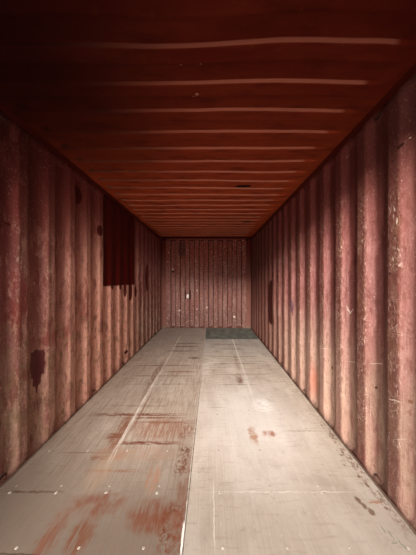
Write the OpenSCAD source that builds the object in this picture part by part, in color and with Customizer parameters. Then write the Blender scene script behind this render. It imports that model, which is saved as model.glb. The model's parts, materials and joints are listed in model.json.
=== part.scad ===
// Twenty-foot general cargo container, standing open, in millimetres.
// X runs across the box, +Y runs from the doors to the closed front end, +Z is up.
// The origin is the middle of the footprint, at the level of the bottom corner castings.

/* [Envelope] */
// Length over the corner castings
box_l = 6058; // [5500:1:7000]
// Width over the corner castings
box_w = 2438; // [2400:1:2500]
// Height over the corner castings
box_h = 2591; // [2500:1:2900]
// Depth that rails and walls stand back from the faces of the castings
face_recess = 5; // [3:1:8]
// Height that the underframe clears the feet of the castings
base_clear = 17; // [12:1:20]
// Height of the floor above the feet of the castings
floor_top = 170; // [165:1:180]
// Drop from the top of the castings to the flats of the roof sheet
roof_drop = 26; // [24:1:34]

/* [Corner castings] */
// Length of a casting along the box
casting_l = 178; // [170:1:190]
// Width of a casting across the box
casting_w = 162; // [158:1:170]
// Height of a casting
casting_h = 118; // [112:1:124]
// Thickness of the wall that holds the twistlock slot
casting_plate = 28.5; // [24:0.5:32]
// Thickness of the outer side walls
casting_wall = 16; // [12:1:20]
// Thickness of the inner walls, which are welded to posts and rails
casting_back = 10; // [8:1:14]
// Radius on the upright outer edge
casting_edge_r = 14; // [8:1:18]
// Length of the twistlock slot
slot_l = 124; // [110:1:130]
// Width of the twistlock slot
slot_w = 63.5; // [58:0.5:66]
// Distance from the end face to the middle of the slot
slot_from_end = 102.5; // [98:0.5:106]
// Distance from the side face to the middle of the slot
slot_from_side = 89.5; // [86:0.5:92]
// Length of the hand hole in a side or end face
hand_hole_l = 79.5; // [70:0.5:86]
// Height of the hand hole in a side face
hand_hole_h = 51; // [44:1:54]
// Width of the shield-shaped hole in an end face
shield_w = 63.5; // [56:0.5:66]
// Height of the shield-shaped hole in an end face
shield_h = 66; // [56:0.5:70]

/* [Posts] */
// Plate thickness of the posts
post_wall = 6; // [5:1:8]
// Thickness of the inner channel of a door post
post_inner_wall = 12; // [8:1:14]
// Width of a door post, from the doorway to the side face
door_post_w = 44; // [40:1:60]
// Distance from the casting face to the rear face of the door posts
rear_recess = 45; // [40:1:50]
// Bevel of the inner corner of a front post
post_bevel = 30; // [20:1:36]

/* [Side walls] */
// Thickness of the wall sheet
wall_sheet = 2; // [1.6:0.1:3]
// Depth of the side wall corrugation over the sheet
side_depth = 38; // [30:1:40]
// Distance from one corrugation to the next
side_pitch = 278; // [260:1:280]
// Width of an inner flat
side_inner_flat = 72; // [60:1:80]
// Width of an outer flat
side_outer_flat = 70; // [60:1:80]

/* [Front wall] */
// Distance from one corrugation to the next
front_pitch = 250; // [220:1:258]
// Width of an outer flat
front_outer_flat = 104; // [90:1:110]
// Width of the slope between two flats
front_slope = 20; // [14:1:24]
// Depth of the front wall corrugation over the sheet
front_depth = 48; // [36:1:50]

/* [Roof] */
// Thickness of the roof sheet
roof_sheet = 2; // [1.6:0.1:3]
// Distance from one rib to the next
rib_pitch = 209; // [200:1:210]
// Width of the crown of a rib
rib_crown = 91; // [80:1:100]
// Width of the slope at each side of a rib
rib_slope = 14; // [10:1:18]
// Height of a rib
rib_h = 20; // [14:1:22]
// Length of the slope at each end of a rib
rib_end = 42; // [30:1:60]
// Distance that the ribs lie nearer the front end than the doors
rib_shift = 30; // [0:1:40]
// Flat margin between the end of a rib and the inner flats of the side wall
rib_margin = 90; // [70:1:120]
// Thickness of the flat plates that close the roof between the castings at each end
end_plate_t = 3; // [2:1:4]
// Thickness of the doubler plates on the roof beside the top castings
corner_plate_t = 4; // [3:1:6]
// Length of a doubler plate along the box
corner_plate_l = 140; // [100:1:150]
// Width of a doubler plate across the box
corner_plate_w = 300; // [200:1:320]

/* [Rails] */
// Height of the top rails and of the front header, which are as deep as the walls under them
top_rail = 50; // [44:1:64]
// Wall of the top rails
top_rail_wall = 3; // [2:0.5:4]
// Height of the bottom rails
bottom_rail_h = 158; // [156:1:160]
// Plate thickness of the bottom rails
bottom_rail_wall = 4.5; // [4:0.5:6]
// Width of the top flange of a bottom side rail
rail_top_flange = 48; // [44:1:50]
// Width of the bottom flange of a bottom side rail
rail_bottom_flange = 30; // [24:1:40]
// Depth of the front sill along the box
front_sill_d = 60; // [50:1:80]
// Depth of the door sill and the door header along the box
rear_beam_d = 112; // [100:1:130]
// Height of the door header, from the doorway to the flats of the roof
header_h = 113; // [100:1:140]
// Thickness of the gusset plates inside the door sill
gusset_t = 8; // [5:1:12]

/* [Underframe] */
// Height of a cross member
cross_h = 122; // [120:1:124]
// Width of the flanges of a cross member
cross_flange = 45; // [40:1:55]
// Width of the flanges of a cross member that carries a joint in the floor
joint_flange = 75; // [70:1:90]
// Plate thickness of a cross member
cross_wall = 4; // [3:0.5:5]
// Spacing of the cross members between the fork pockets
mid_spacing = 250; // [240:1:255]
// Spacing of the cross members outside the fork pockets
end_spacing = 300; // [280:1:305]
// Distance from the middle of the box to the first cross member outside the fork pockets
end_start = 1580; // [1560:1:1590]
// Distance from the middle of the box to the middle of a fork pocket
pocket_y = 1040; // [1025:1:1050]
// Clear width of a fork pocket
pocket_w = 360; // [340:1:370]
// Clear height of a fork pocket
pocket_h = 115; // [112:1:115]
// Thickness of the plate over a fork pocket
pocket_top_t = 3; // [2:0.5:3]
// Thickness of the straps under a fork pocket
pocket_strap_t = 4; // [3:0.5:4]
// Width of the straps under a fork pocket
pocket_strap_w = 200; // [150:1:260]

/* [Floor] */
// Thickness of the plywood boards
board_t = 28; // [24:1:30]
// Gap between the ends of two boards
board_gap = 2; // [1:0.5:4]
// Width of the steel strip between the two rows of boards
centre_strip_w = 6; // [4:1:12]
// Thickness of the steel bar along each edge of the floor
edge_bar_t = 4; // [3:1:6]
// Height that the edge bars stand above the boards
edge_bar_rise = 2; // [0:0.5:4]

/* [Doors] */
// Angle that each leaf is swung open, folded back along the side wall
door_open = 266; // [262:1:267]
// Distance from the faces of the castings to a hinge pin
pin_inset = 13; // [13:1:15]
// Radius of a hinge knuckle
knuckle_r = 13; // [11:1:13]
// Radius of a hinge pin
pin_r = 7; // [5:0.5:8]
// Distance from the hinge pin to the outer face of a leaf
leaf_offset = 44; // [42:1:48]
// Thickness of a leaf
leaf_t = 50; // [46:1:56]
// Gap between the frame of a leaf and the frame of the doorway
leaf_gap = 8; // [6:1:12]
// Width of the upright frame members
stile_w = 100; // [80:1:110]
// Plate thickness of the upright frame members
stile_wall = 3.5; // [2.5:0.5:5]
// Height of the level frame members
ledger_h = 150; // [120:1:160]
// Plate thickness of the level frame members
ledger_wall = 3; // [3:0.5:6]
// Number of inward swages in a leaf's panel
leaf_waves = 5; // [3:1:5]
// Height of the bottom of a swage
leaf_wave_flat = 72; // [60:1:80]
// Height of each slope of a swage
leaf_wave_slope = 40; // [30:1:44]
// Depth of a swage over the sheet
leaf_wave_depth = 38; // [26:1:40]
// Distance that the panel stands back from the outer face of the frame
panel_setback = 4; // [3:1:8]
// Width that the gasket stands out from the frame
gasket_lip = 13; // [8:1:16]
// Thickness of the gasket
gasket_t = 18; // [12:1:24]
// Distance from the inner face of a leaf to its gasket
gasket_back = 4; // [2:1:8]
// Number of hinges on a leaf
hinges = 4; // [3:1:5]
// Height of a hinge knuckle
knuckle_h = 60; // [50:1:80]
// Height of each hinge lug on the post
lug_h = 18; // [14:1:24]
// Distance from the doorway to the root of a hinge lug
lug_root = 8; // [4:1:12]
// Gap between a hinge knuckle and a lug
hinge_gap = 1; // [0.5:0.5:2]
// Distance that a hinge pin stands out past its lugs
pin_out = 5; // [3:1:8]
// Clearance round a hinge pin or a lock rod
bore_gap = 0.3; // [0.2:0.1:0.5]
// Thickness of the hinge blade on the leaf
blade_t = 10; // [8:1:12]
// Width of the hinge blade on the leaf
blade_w = 80; // [60:1:90]
// Angle between a leaf and the line in which its hinge blade leaves the knuckle
blade_turn = 17.5; // [10:0.5:25]

/* [Door gear] */
// Radius of a lock rod
rod_r = 17; // [14:0.5:18]
// Distance from the outer face of the leaf to the axis of a lock rod
rod_offset = 22; // [21:1:23]
// Distance from the hinge pin to the lock rod nearer the hinges
rod_near = 300; // [290:1:340]
// Distance from the free edge of the leaf to the lock rod nearer the middle
rod_far = 318; // [280:1:360]
// Distance that a lock rod reaches below the floor
rod_below = 34; // [28:1:40]
// Distance that a lock rod reaches above the doorway
rod_above = 30; // [26:1:40]
// Height of a cam forging
cam_h = 34; // [28:1:40]
// Reach of a cam from the axis of its rod
cam_reach = 46; // [40:1:52]
// Thickness of a cam round its rod
cam_wall = 2; // [2:0.5:4]
// Thickness of the nose of a cam
cam_nose = 12; // [8:1:14]
// Height of a cam keeper
keeper_h = 44; // [38:1:50]
// Width of a cam keeper
keeper_w = 68; // [60:1:80]
// Distance that a cam keeper stands out
keeper_d = 34; // [30:1:38]
// Thickness of the foot of a cam keeper
keeper_foot = 8; // [6:1:10]
// Thickness of the hook of a cam keeper
keeper_hook = 10; // [8:1:12]
// Length of the hook of a cam keeper
keeper_hook_l = 26; // [22:1:32]
// Distance between the middles of a cam and of its keeper
keeper_off = 18; // [14:1:20]
// Length of a handle from the axis of its rod
handle_l = 470; // [400:1:480]
// Height of the bar of a handle
handle_h = 22; // [18:1:30]
// Thickness of the bar of a handle
handle_t = 12; // [8:1:14]
// Radius of the round end of a handle
handle_end_r = 16; // [12:1:18]
// Height of the hub of a handle
hub_h = 60; // [50:1:80]
// Wall of the hubs and saddles round a lock rod
hub_wall = 6; // [4:1:8]
// Width of a handle catch
catch_w = 40; // [30:1:50]
// Height of a handle catch
catch_h = 22; // [16:1:26]
// Gap between a handle and its catch
catch_gap = 7; // [5:1:10]
// Width of the foot of a rod bracket
bracket_w = 100; // [90:1:120]
// Height of a rod bracket
bracket_h = 50; // [40:1:60]
// Thickness of the foot of a rod bracket
bracket_t = 6; // [5:1:8]
// Height of the lower handles above the floor
handle_z = 900; // [860:1:910]
// Rise from the lower to the upper handle of a leaf
handle_rise = 150; // [130:1:160]

/* [Lashing points] */
// Inner radius of a lashing ring
ring_r = 24; // [20:1:26]
// Radius of the rod that a lashing ring is bent from
ring_rod_r = 5; // [4:0.5:6]
// Number of corrugations between two lashing rings
ring_step = 4; // [4:1:5]
// Height of the lowest lashing ring on a front post, above the floor
post_ring_z = 520; // [400:10:560]
// Spacing of the lashing rings on a front post
post_ring_step = 530; // [450:10:540]
// Number of lashing rings on a front post
post_rings = 4; // [3:1:4]

/* [Ventilators] */
// Height of a ventilator cover
vent_h = 110; // [90:1:130]
// Depth that a ventilator cover stands out from the bottom of a corrugation
vent_d = 30; // [20:1:34]
// Wall thickness of a ventilator cover
vent_wall = 3; // [2:0.5:4]
// Distance from the top rail down to a ventilator
vent_drop = 90; // [60:1:140]
// Gap between a ventilator cover and the slopes beside it
vent_gap = 2; // [1:0.5:4]

/* [Hidden] */
$fn = 48;

// Colours
oxide = "#6b2a22";
oxide_dark = "#4f1f1a";
galvanised = "#8f9190";
plywood = "#a99a86";
plywood_new = "#59605b";
rubber = "#1f1f20";

// Planes of the finished box
half_w = box_w / 2;
half_l = box_l / 2;
side_face = half_w - face_recess;
front_face = half_l - face_recess;
rear_face = half_l - rear_recess;
casting_in_x = half_w - casting_w;
casting_in_y = half_l - casting_l;
wall_in = side_face - side_depth;
front_in = front_face - front_depth;
roof_under = box_h - roof_drop - roof_sheet;
rail_under = roof_under - top_rail;
sill_top = base_clear + bottom_rail_h;
board_under = floor_top - board_t;
cross_under = board_under - cross_h;
rail_web = side_face - rail_top_flange;
doorway_x = side_face - door_post_w;
header_under = roof_under - header_h;
seat = 0.01;
mitre = tan(22.5);

// Corrugations: as many pairs as fit between the castings or the end frames
side_waves = 2 * floor(casting_in_y / side_pitch);
front_waves = 2 * floor(casting_in_x / front_pitch);
roof_ribs = 2 * floor((casting_in_y - rib_shift) / rib_pitch);

// Floor layout: joints between boards lie over wide cross members
joint_rear = -end_start;
joint_mid = 2 * mid_spacing;
joint_front = end_start + end_spacing;
mid_members = [for (i = [-3:3]) i * mid_spacing];
last_member = casting_in_y - joint_flange;
end_members = [for (s = [-1, 1], y = [end_start:end_spacing:last_member]) s * y];
floor_joints = [joint_rear, joint_mid, joint_front];
floor_rear = -(rear_face - rear_beam_d);
floor_front = front_in - front_sill_d + front_depth;

// Doors: a leaf is drawn closed, seen from its hinge pin
pin_x = half_w - pin_inset;
pin_y = half_l - pin_inset;
leaf_near = pin_x - doorway_x + leaf_gap;
leaf_far = pin_x - leaf_gap;
leaf_low = floor_top + leaf_gap;
leaf_high = header_under - leaf_gap;
panel_near = leaf_near + stile_w;
panel_far = leaf_far - stile_w;
panel_low = leaf_low + ledger_h;
panel_high = leaf_high - ledger_h;
rods = [rod_near, leaf_far - rod_far];
rod_low = floor_top - rod_below;
rod_high = header_under + rod_above;
swage_pitch = (panel_high - panel_low) / leaf_waves;
guide_zs = [panel_low + swage_pitch, panel_high - swage_pitch];
hinge_zs = [for (i = [0:hinges - 1])
    leaf_low + ledger_h + i * (leaf_high - leaf_low - 2 * ledger_h) / (hinges - 1)];

// Draws the children at the side s of the box, where 1 is right and -1 is left
module on_side(s) {
    if (s > 0) children();
    else mirror([1, 0, 0]) children();
}

// Draws the children at the end s of the box, where 1 is the front and -1 the doors
module on_end(s) {
    if (s > 0) children();
    else mirror([0, 1, 0]) children();
}

// Extrudes an outline in (X, Z) along Y, from y0 to y1
module along_y(y0, y1) {
    translate([0, y1, 0]) rotate([90, 0, 0]) linear_extrude(y1 - y0) children();
}

// Extrudes an outline in (Y, Z) along X, from x0 to x1
module along_x(x0, x1) {
    translate([x0, 0, 0]) rotate([90, 0, 90]) linear_extrude(x1 - x0) children();
}

// Block between two opposite corners
module block(a, b) {
    translate(a) cube(b - a);
}

// Slot with round ends, l long along X and w wide
module slot_outline(l, w) {
    union() {
        square([l - w, w], center = true);
        for (s = [-1, 1]) translate([s * (l - w) / 2, 0]) circle(w / 2);
    }
}

// Shield-shaped hole w wide and h high: square at the bottom, round at the top
module shield_outline(w, h) {
    r = w / 2;
    union() {
        translate([-r, -h / 2]) square([w, h - r]);
        translate([0, h / 2 - r]) circle(r);
    }
}

// Corner castings

// Bottom casting at the right front corner
module bottom_casting() {
    mid = casting_plate + (casting_h - casting_plate - casting_back) / 2;
    difference() {
        translate([casting_in_x, casting_in_y, 0]) linear_extrude(casting_h) casting_outline();
        block([casting_in_x + casting_back, casting_in_y + casting_back, casting_plate],
            [half_w - casting_wall, half_l - casting_wall, casting_h - casting_back]);
        translate([half_w - slot_from_side, half_l - slot_from_end, -1])
            linear_extrude(casting_plate + 2) rotate(90) slot_outline(slot_l, slot_w);
        hand_holes(mid, 1);
    }
}

// Top casting at the right front corner
module top_casting() {
    mid = box_h - casting_plate - (casting_h - casting_plate - casting_back) / 2;
    difference() {
        translate([casting_in_x, casting_in_y, box_h - casting_h])
            linear_extrude(casting_h) casting_outline();
        block([casting_in_x + casting_back, casting_in_y + casting_back, box_h - casting_h + casting_back],
            [half_w - casting_wall, half_l - casting_wall, box_h - casting_plate]);
        translate([half_w - slot_from_side, half_l - slot_from_end, box_h - casting_plate - 1])
            linear_extrude(casting_plate + 2) rotate(90) slot_outline(slot_l, slot_w);
        hand_holes(mid, -1);
    }
}

// Plan of a casting, with its outer upright edge rounded
module casting_outline() {
    r = casting_edge_r;
    union() {
        square([casting_w - r, casting_l]);
        square([casting_w, casting_l - r]);
        translate([casting_w - r, casting_l - r]) circle(r);
    }
}

// Hand holes at height z: a slot in the side face and a shield, its round end towards up, in the end face
module hand_holes(z, up) {
    translate([half_w - casting_wall - 1, half_l - slot_from_end, z])
        rotate([90, 0, 90]) linear_extrude(casting_wall + 2) slot_outline(hand_hole_l, hand_hole_h);
    translate([half_w - slot_from_side, half_l + 1, z])
        rotate([90, 0, 0]) linear_extrude(casting_wall + 2) rotate(up > 0 ? 0 : 180)
            shield_outline(shield_w, shield_h);
}

module castings_bottom(s) {
    color(oxide_dark) on_side(s) for (e = [-1, 1]) on_end(e) bottom_casting();
}

module castings_top(s) {
    color(oxide_dark) on_side(s) for (e = [-1, 1]) on_end(e) top_casting();
}

// Posts

// Front post: an angled box section between the castings
module front_post(s) {
    color(oxide) on_side(s) translate([0, 0, casting_h]) linear_extrude(box_h - 2 * casting_h)
        difference() {
            front_post_outline(0);
            front_post_outline(post_wall);
        }
}

// Plan of a front post, drawn inside itself by t
module front_post_outline(t) {
    polygon([
        [casting_in_x + t, front_in + t],
        [wall_in - post_bevel + mitre * t, front_in + t],
        [wall_in + t, front_in - post_bevel + mitre * t],
        [wall_in + t, casting_in_y + t],
        [side_face - t, casting_in_y + t],
        [side_face - t, front_face - t],
        [casting_in_x + t, front_face - t]
    ]);
}

// Door post: a pressed outer section around a thick inner channel, with the lugs of the hinges
module door_post(s) {
    color(oxide) on_side(s) {
        translate([0, 0, casting_h]) linear_extrude(box_h - 2 * casting_h) difference() {
            translate([doorway_x, -rear_face]) square([side_face - doorway_x, rear_face - casting_in_y]);
            translate([doorway_x + post_inner_wall, post_wall - rear_face])
                square([side_face - doorway_x - post_inner_wall - post_wall,
                    rear_face - casting_in_y - 2 * post_wall]);
        }
        for (z = hinge_zs, e = [-1, 1])
            translate([0, 0, z + e * ((knuckle_h + lug_h) / 2 + hinge_gap) - lug_h / 2])
                linear_extrude(lug_h) difference() {
                    union() {
                        translate([pin_x, -pin_y]) circle(knuckle_r);
                        polygon([
                            [pin_x + knuckle_r, -pin_y],
                            [side_face - seat, -rear_face + seat],
                            [doorway_x + lug_root, -rear_face + seat],
                            [pin_x - knuckle_r, -pin_y]
                        ]);
                    }
                    translate([pin_x, -pin_y]) circle(pin_r + bore_gap);
                }
    }
}

// Rails

// Bottom side rail: a channel open to the outside, cut through at the fork pockets
module bottom_rail(s) {
    t = bottom_rail_wall;
    color(oxide) on_side(s) difference() {
        along_y(-casting_in_y, casting_in_y) polygon([
            [rail_web, base_clear],
            [rail_web + rail_bottom_flange, base_clear],
            [rail_web + rail_bottom_flange, base_clear + t],
            [rail_web + t, base_clear + t],
            [rail_web + t, sill_top - t],
            [side_face, sill_top - t],
            [side_face, sill_top],
            [rail_web, sill_top]
        ]);
        for (e = [-1, 1])
            block([rail_web - 1, e * pocket_y - pocket_w / 2, board_under - pocket_top_t - pocket_h],
                [rail_web + t + 1, e * pocket_y + pocket_w / 2, board_under - pocket_top_t]);
    }
}

// Top side rail: a tube flush with the inner flats of the wall
module top_rail_tube(s) {
    color(oxide) on_side(s) along_y(-casting_in_y, casting_in_y)
        translate([wall_in, rail_under]) tube_outline(side_depth, top_rail, top_rail_wall);
}

// Rectangular tube w wide and h high with its corner at the origin
module tube_outline(w, h, t) {
    difference() {
        square([w, h]);
        translate([t, t]) square([w - 2 * t, h - 2 * t]);
    }
}

// Front sill: a channel open to the inside of the box
module front_sill() {
    t = bottom_rail_wall;
    color(oxide) along_x(-casting_in_x, casting_in_x) polygon([
        [front_face - front_sill_d, base_clear],
        [front_face, base_clear],
        [front_face, sill_top],
        [front_face - front_sill_d, sill_top],
        [front_face - front_sill_d, sill_top - t],
        [front_face - t, sill_top - t],
        [front_face - t, base_clear + t],
        [front_face - front_sill_d, base_clear + t]
    ]);
}

// Front header: a tube between the top castings, flush with the inner flats of the front wall
module front_header() {
    color(oxide) along_x(-casting_in_x, casting_in_x)
        translate([front_in, rail_under]) tube_outline(front_depth, top_rail, top_rail_wall);
}

// Door sill: a pressed section open to the inside, stiffened by gussets behind the cam keepers
module door_sill() {
    t = bottom_rail_wall;
    color(oxide) union() {
        along_x(-casting_in_x, casting_in_x) polygon([
            [-rear_face, base_clear],
            [-rear_face + rear_beam_d / 2, base_clear],
            [-rear_face + rear_beam_d / 2, base_clear + t],
            [-rear_face + t, base_clear + t],
            [-rear_face + t, floor_top - 2 * t],
            [-rear_face + rear_beam_d, floor_top - t],
            [-rear_face + rear_beam_d, floor_top],
            [-rear_face, floor_top - t]
        ]);
        for (r = rods, s = [-1, 1])
            translate([s * (pin_x - r) - gusset_t / 2, 0, 0])
                along_x(0, gusset_t) polygon([
                    [-rear_face + t / 2, base_clear + t / 2],
                    [-rear_face + rear_beam_d / 2, base_clear + t / 2],
                    [-rear_face + rear_beam_d - 2 * t, floor_top - 1.5 * t],
                    [-rear_face + t / 2, floor_top - 1.5 * t]
                ]);
    }
}

// Door header: a box section with a sloping inner face
module door_header() {
    t = bottom_rail_wall;
    slope = rear_beam_d / 3;
    color(oxide) along_x(-casting_in_x, casting_in_x) difference() {
        polygon([
            [-rear_face, header_under],
            [-rear_face + rear_beam_d - slope, header_under],
            [-rear_face + rear_beam_d, header_under + slope],
            [-rear_face + rear_beam_d, roof_under],
            [-rear_face, roof_under]
        ]);
        polygon([
            [-rear_face + t, header_under + t],
            [-rear_face + rear_beam_d - slope - mitre * t, header_under + t],
            [-rear_face + rear_beam_d - t, header_under + slope + mitre * t],
            [-rear_face + rear_beam_d - t, roof_under - t],
            [-rear_face + t, roof_under - t]
        ]);
    }
}

// Bent plates that carry the lines of the sill and the header across the castings to the posts
module door_frame_corners() {
    t = bottom_rail_wall;
    color(oxide) for (s = [-1, 1]) on_side(s) {
        along_x(casting_in_x, doorway_x) polygon([
            [-rear_face, casting_h], [-rear_face, floor_top - t], [-rear_face + rear_beam_d, floor_top],
            [-rear_face + rear_beam_d, floor_top - t], [-rear_face + t, floor_top - 2 * t],
            [-rear_face + t, casting_h]
        ]);
        along_x(casting_in_x, doorway_x) polygon([
            [-rear_face, box_h - casting_h], [-rear_face, header_under],
            [-rear_face + rear_beam_d, header_under], [-rear_face + rear_beam_d, header_under + t],
            [-rear_face + t, header_under + t], [-rear_face + t, box_h - casting_h]
        ]);
    }
}

// Walls and roof

// Points of a corrugated line from one margin to the other: inner flats lie at v = 0, outer at v = depth
function wave_line(reach, waves, pitch, inner, outer, depth) = concat(
    [[-reach, 0]],
    [for (i = [0:waves - 1]) each
        let (c = (i - (waves - 1) / 2) * pitch, slope = (pitch - inner - outer) / 2) [
            [c - outer / 2 - slope, 0], [c - outer / 2, depth],
            [c + outer / 2, depth], [c + outer / 2 + slope, 0]
        ]],
    [[reach, 0]]
);

// Outline of a sheet t thick that follows a line of points
function sheet_outline(line, t) = concat(
    line,
    [for (i = [len(line) - 1:-1:0]) [line[i][0], line[i][1] + t]]
);

module side_wall(s) {
    line = wave_line(casting_in_y, side_waves, side_pitch, side_inner_flat, side_outer_flat,
        side_depth - wall_sheet);
    color(oxide) on_side(s) translate([wall_in, 0, sill_top]) linear_extrude(rail_under - sill_top)
        mirror([1, 0]) rotate(90) polygon(sheet_outline(line, wall_sheet));
}

module front_wall() {
    inner = front_pitch - front_outer_flat - 2 * front_slope;
    line = wave_line(casting_in_x, front_waves, front_pitch, inner, front_outer_flat,
        front_depth - wall_sheet);
    color(oxide) translate([0, front_in, sill_top]) linear_extrude(rail_under - sill_top)
        polygon(sheet_outline(line, wall_sheet));
}

// Roof sheet between the end frames, with ribs pressed upward
module roof() {
    color(oxide) difference() {
        union() {
            block([-side_face, -casting_in_y, roof_under],
                [side_face, casting_in_y, roof_under + roof_sheet]);
            rib_body(roof_sheet);
        }
        rib_body(0);
    }
}

// All ribs as one body with its underside at the sheet, lifted by t
module rib_body(t) {
    reach = wall_in - rib_margin;
    intersection() {
        along_x(-reach - 1, reach + 1) union() for (i = [0:roof_ribs - 1])
            translate([rib_shift + (i - (roof_ribs - 1) / 2) * rib_pitch, roof_under - 1 + t]) polygon([
                [-rib_crown / 2 - rib_slope, 0], [-rib_crown / 2 - rib_slope, 1],
                [-rib_crown / 2, rib_h + 1], [rib_crown / 2, rib_h + 1],
                [rib_crown / 2 + rib_slope, 1], [rib_crown / 2 + rib_slope, 0]
            ]);
        along_y(-half_l, half_l) polygon([
            [-reach, roof_under - 1], [-reach, roof_under + t], [-reach + rib_end, roof_under + rib_h + t],
            [reach - rib_end, roof_under + rib_h + t], [reach, roof_under + t], [reach, roof_under - 1]
        ]);
    }
}

// Flat plates between the top castings, over the header at each end
module roof_end_plates() {
    color(oxide) for (end_face = [-rear_face, front_face])
        block([-casting_in_x, min(end_face, sign(end_face) * casting_in_y), roof_under],
            [casting_in_x, max(end_face, sign(end_face) * casting_in_y), roof_under + end_plate_t]);
}

// Doubler plates that guard the roof sheet beside each top casting
module roof_corner_plates() {
    z = roof_under + roof_sheet;
    color(oxide) for (s = [-1, 1], e = [-1, 1]) on_side(s) on_end(e)
        block([side_face - corner_plate_w, casting_in_y - corner_plate_l, z],
            [side_face, casting_in_y, z + corner_plate_t]);
}

// Underframe

// Channel across the box with its web at y and its flanges towards the side e
module cross_channel(y, e, flange) {
    along_x(-rail_web, rail_web) translate([y, 0]) on_side(e) polygon([
        [0, cross_under], [flange, cross_under], [flange, cross_under + cross_wall],
        [cross_wall, cross_under + cross_wall], [cross_wall, board_under - cross_wall],
        [flange, board_under - cross_wall], [flange, board_under], [0, board_under]
    ]);
}

module cross_members() {
    color(oxide_dark) for (y = concat(mid_members, end_members)) {
        flange = len(search(y, floor_joints)) > 0 ? joint_flange : cross_flange;
        cross_channel(y - flange / 2, 1, flange);
    }
}

// Fork pockets: two channels, a plate over them and a strap under each mouth
module fork_pockets() {
    top = board_under - pocket_top_t;
    color(oxide_dark) for (e = [-1, 1]) on_end(e) union() {
        cross_channel(pocket_y - pocket_w / 2, -1, cross_flange);
        cross_channel(pocket_y + pocket_w / 2, 1, cross_flange);
        block([-rail_web, pocket_y - pocket_w / 2 - seat, top],
            [rail_web, pocket_y + pocket_w / 2 + seat, board_under]);
        for (s = [-1, 1]) on_side(s)
            block([rail_web - pocket_strap_w, pocket_y - pocket_w / 2 - seat, cross_under],
                [rail_web, pocket_y + pocket_w / 2 + seat, cross_under + pocket_strap_t]);
    }
}

// Floor

// One row of boards on the side s, between the ends listed in ys
module board_row(s, ys) {
    on_side(s) for (i = [0:len(ys) - 2])
        block([centre_strip_w / 2, ys[i] + board_gap / 2, board_under],
            [rail_web - edge_bar_t, ys[i + 1] - board_gap / 2, floor_top]);
}

module floor_boards_left() {
    color(plywood) board_row(-1, concat(floor_rear, floor_joints, floor_front));
}

module floor_boards_right() {
    color(plywood) board_row(1, concat(floor_rear, floor_joints));
}

module replacement_board() {
    color(plywood_new) board_row(1, [joint_front, floor_front]);
}

module floor_centre_strip() {
    color(galvanised) block([-centre_strip_w / 2, floor_rear, board_under],
        [centre_strip_w / 2, floor_front, floor_top]);
}

module floor_edge_bars() {
    color(galvanised) for (s = [-1, 1]) on_side(s)
        block([rail_web - edge_bar_t, -casting_in_y, board_under],
            [rail_web, casting_in_y, floor_top + edge_bar_rise]);
}

// Lashing points

// Half ring standing on the origin, in the plane X = 0, with its feet along Y
module half_ring() {
    rotate([90, 0, 90]) rotate_extrude(angle = 180) translate([ring_r + ring_rod_r, 0]) circle(ring_rod_r);
}

// Middles of the outer flats that hold a lashing ring
ring_ys = [for (k = [1:ring_step:side_waves / 2 - 1]) (k + 0.5) * side_pitch];

module lashing_rings() {
    x = side_face - side_depth / 2;
    color(galvanised) for (s = [-1, 1], e = [-1, 1], y = ring_ys) on_side(s) on_end(e) {
        translate([x, y, sill_top]) half_ring();
        translate([x, y, rail_under]) mirror([0, 0, 1]) half_ring();
    }
    color(galvanised) for (s = [-1, 1], i = [0:post_rings - 1]) on_side(s)
        translate([casting_in_x + (wall_in - post_bevel - casting_in_x) / 2, front_in,
            floor_top + post_ring_z + i * post_ring_step])
            rotate([90, 0, 0]) half_ring();
}

// Ventilators

// Cover with sloping sides, open below, that fills a hollow of each side wall near the front
module ventilators() {
    z = rail_under - vent_drop - vent_h;
    y = (side_waves / 2 - 1) * side_pitch;
    x = wall_in + wall_sheet;
    slope_w = (side_pitch - side_inner_flat - side_outer_flat) / 2;
    reach = side_inner_flat / 2 + slope_w * vent_d / (side_depth - wall_sheet) - vent_gap;
    color(oxide) for (s = [-1, 1]) on_side(s)
        translate([0, 0, z]) difference() {
            linear_extrude(vent_h) polygon([
                [x, y - side_inner_flat / 2], [x + vent_d, y - reach],
                [x + vent_d, y + reach], [x, y + side_inner_flat / 2]
            ]);
            translate([0, 0, -1]) linear_extrude(vent_h - vent_wall + 1) polygon([
                [x + vent_wall, y + vent_wall - side_inner_flat / 2],
                [x + vent_d - vent_wall, y + vent_wall - reach],
                [x + vent_d - vent_wall, y + reach - vent_wall],
                [x + vent_wall, y + side_inner_flat / 2 - vent_wall]
            ]);
        }
}

// Doors

// Draws a leaf's children, given closed on the right side, at its hinge pin and swung open
module leaf(s) {
    on_side(s) translate([pin_x, -pin_y, 0]) rotate(door_open) mirror([1, 0, 0]) children();
}

module door_frame(s) {
    color(oxide) leaf(s) union() {
        for (x = [leaf_near, panel_far])
            translate([x, leaf_offset, leaf_low]) linear_extrude(leaf_high - leaf_low)
                tube_outline(stile_w, leaf_t, stile_wall);
        for (z = [leaf_low, panel_high])
            difference() {
                block([panel_near - seat, leaf_offset, z],
                    [panel_far + seat, leaf_offset + leaf_t, z + ledger_h]);
                block([panel_near, leaf_offset + ledger_wall, z + ledger_wall],
                    [panel_far, leaf_offset + leaf_t + 1, z + ledger_h - ledger_wall]);
            }
    }
}

// Panel with level swages pressed towards the inside of the box
module door_panel(s) {
    half_h = (panel_high - panel_low) / 2;
    line = wave_line(half_h, leaf_waves, swage_pitch, swage_pitch - leaf_wave_flat - 2 * leaf_wave_slope,
        leaf_wave_flat, leaf_wave_depth - wall_sheet);
    color(oxide) leaf(s) translate([panel_near, leaf_offset + panel_setback, panel_low + half_h])
        rotate([90, 0, 90]) linear_extrude(panel_far - panel_near)
            mirror([1, 0]) rotate(90) polygon(sheet_outline(line, wall_sheet));
}

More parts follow.
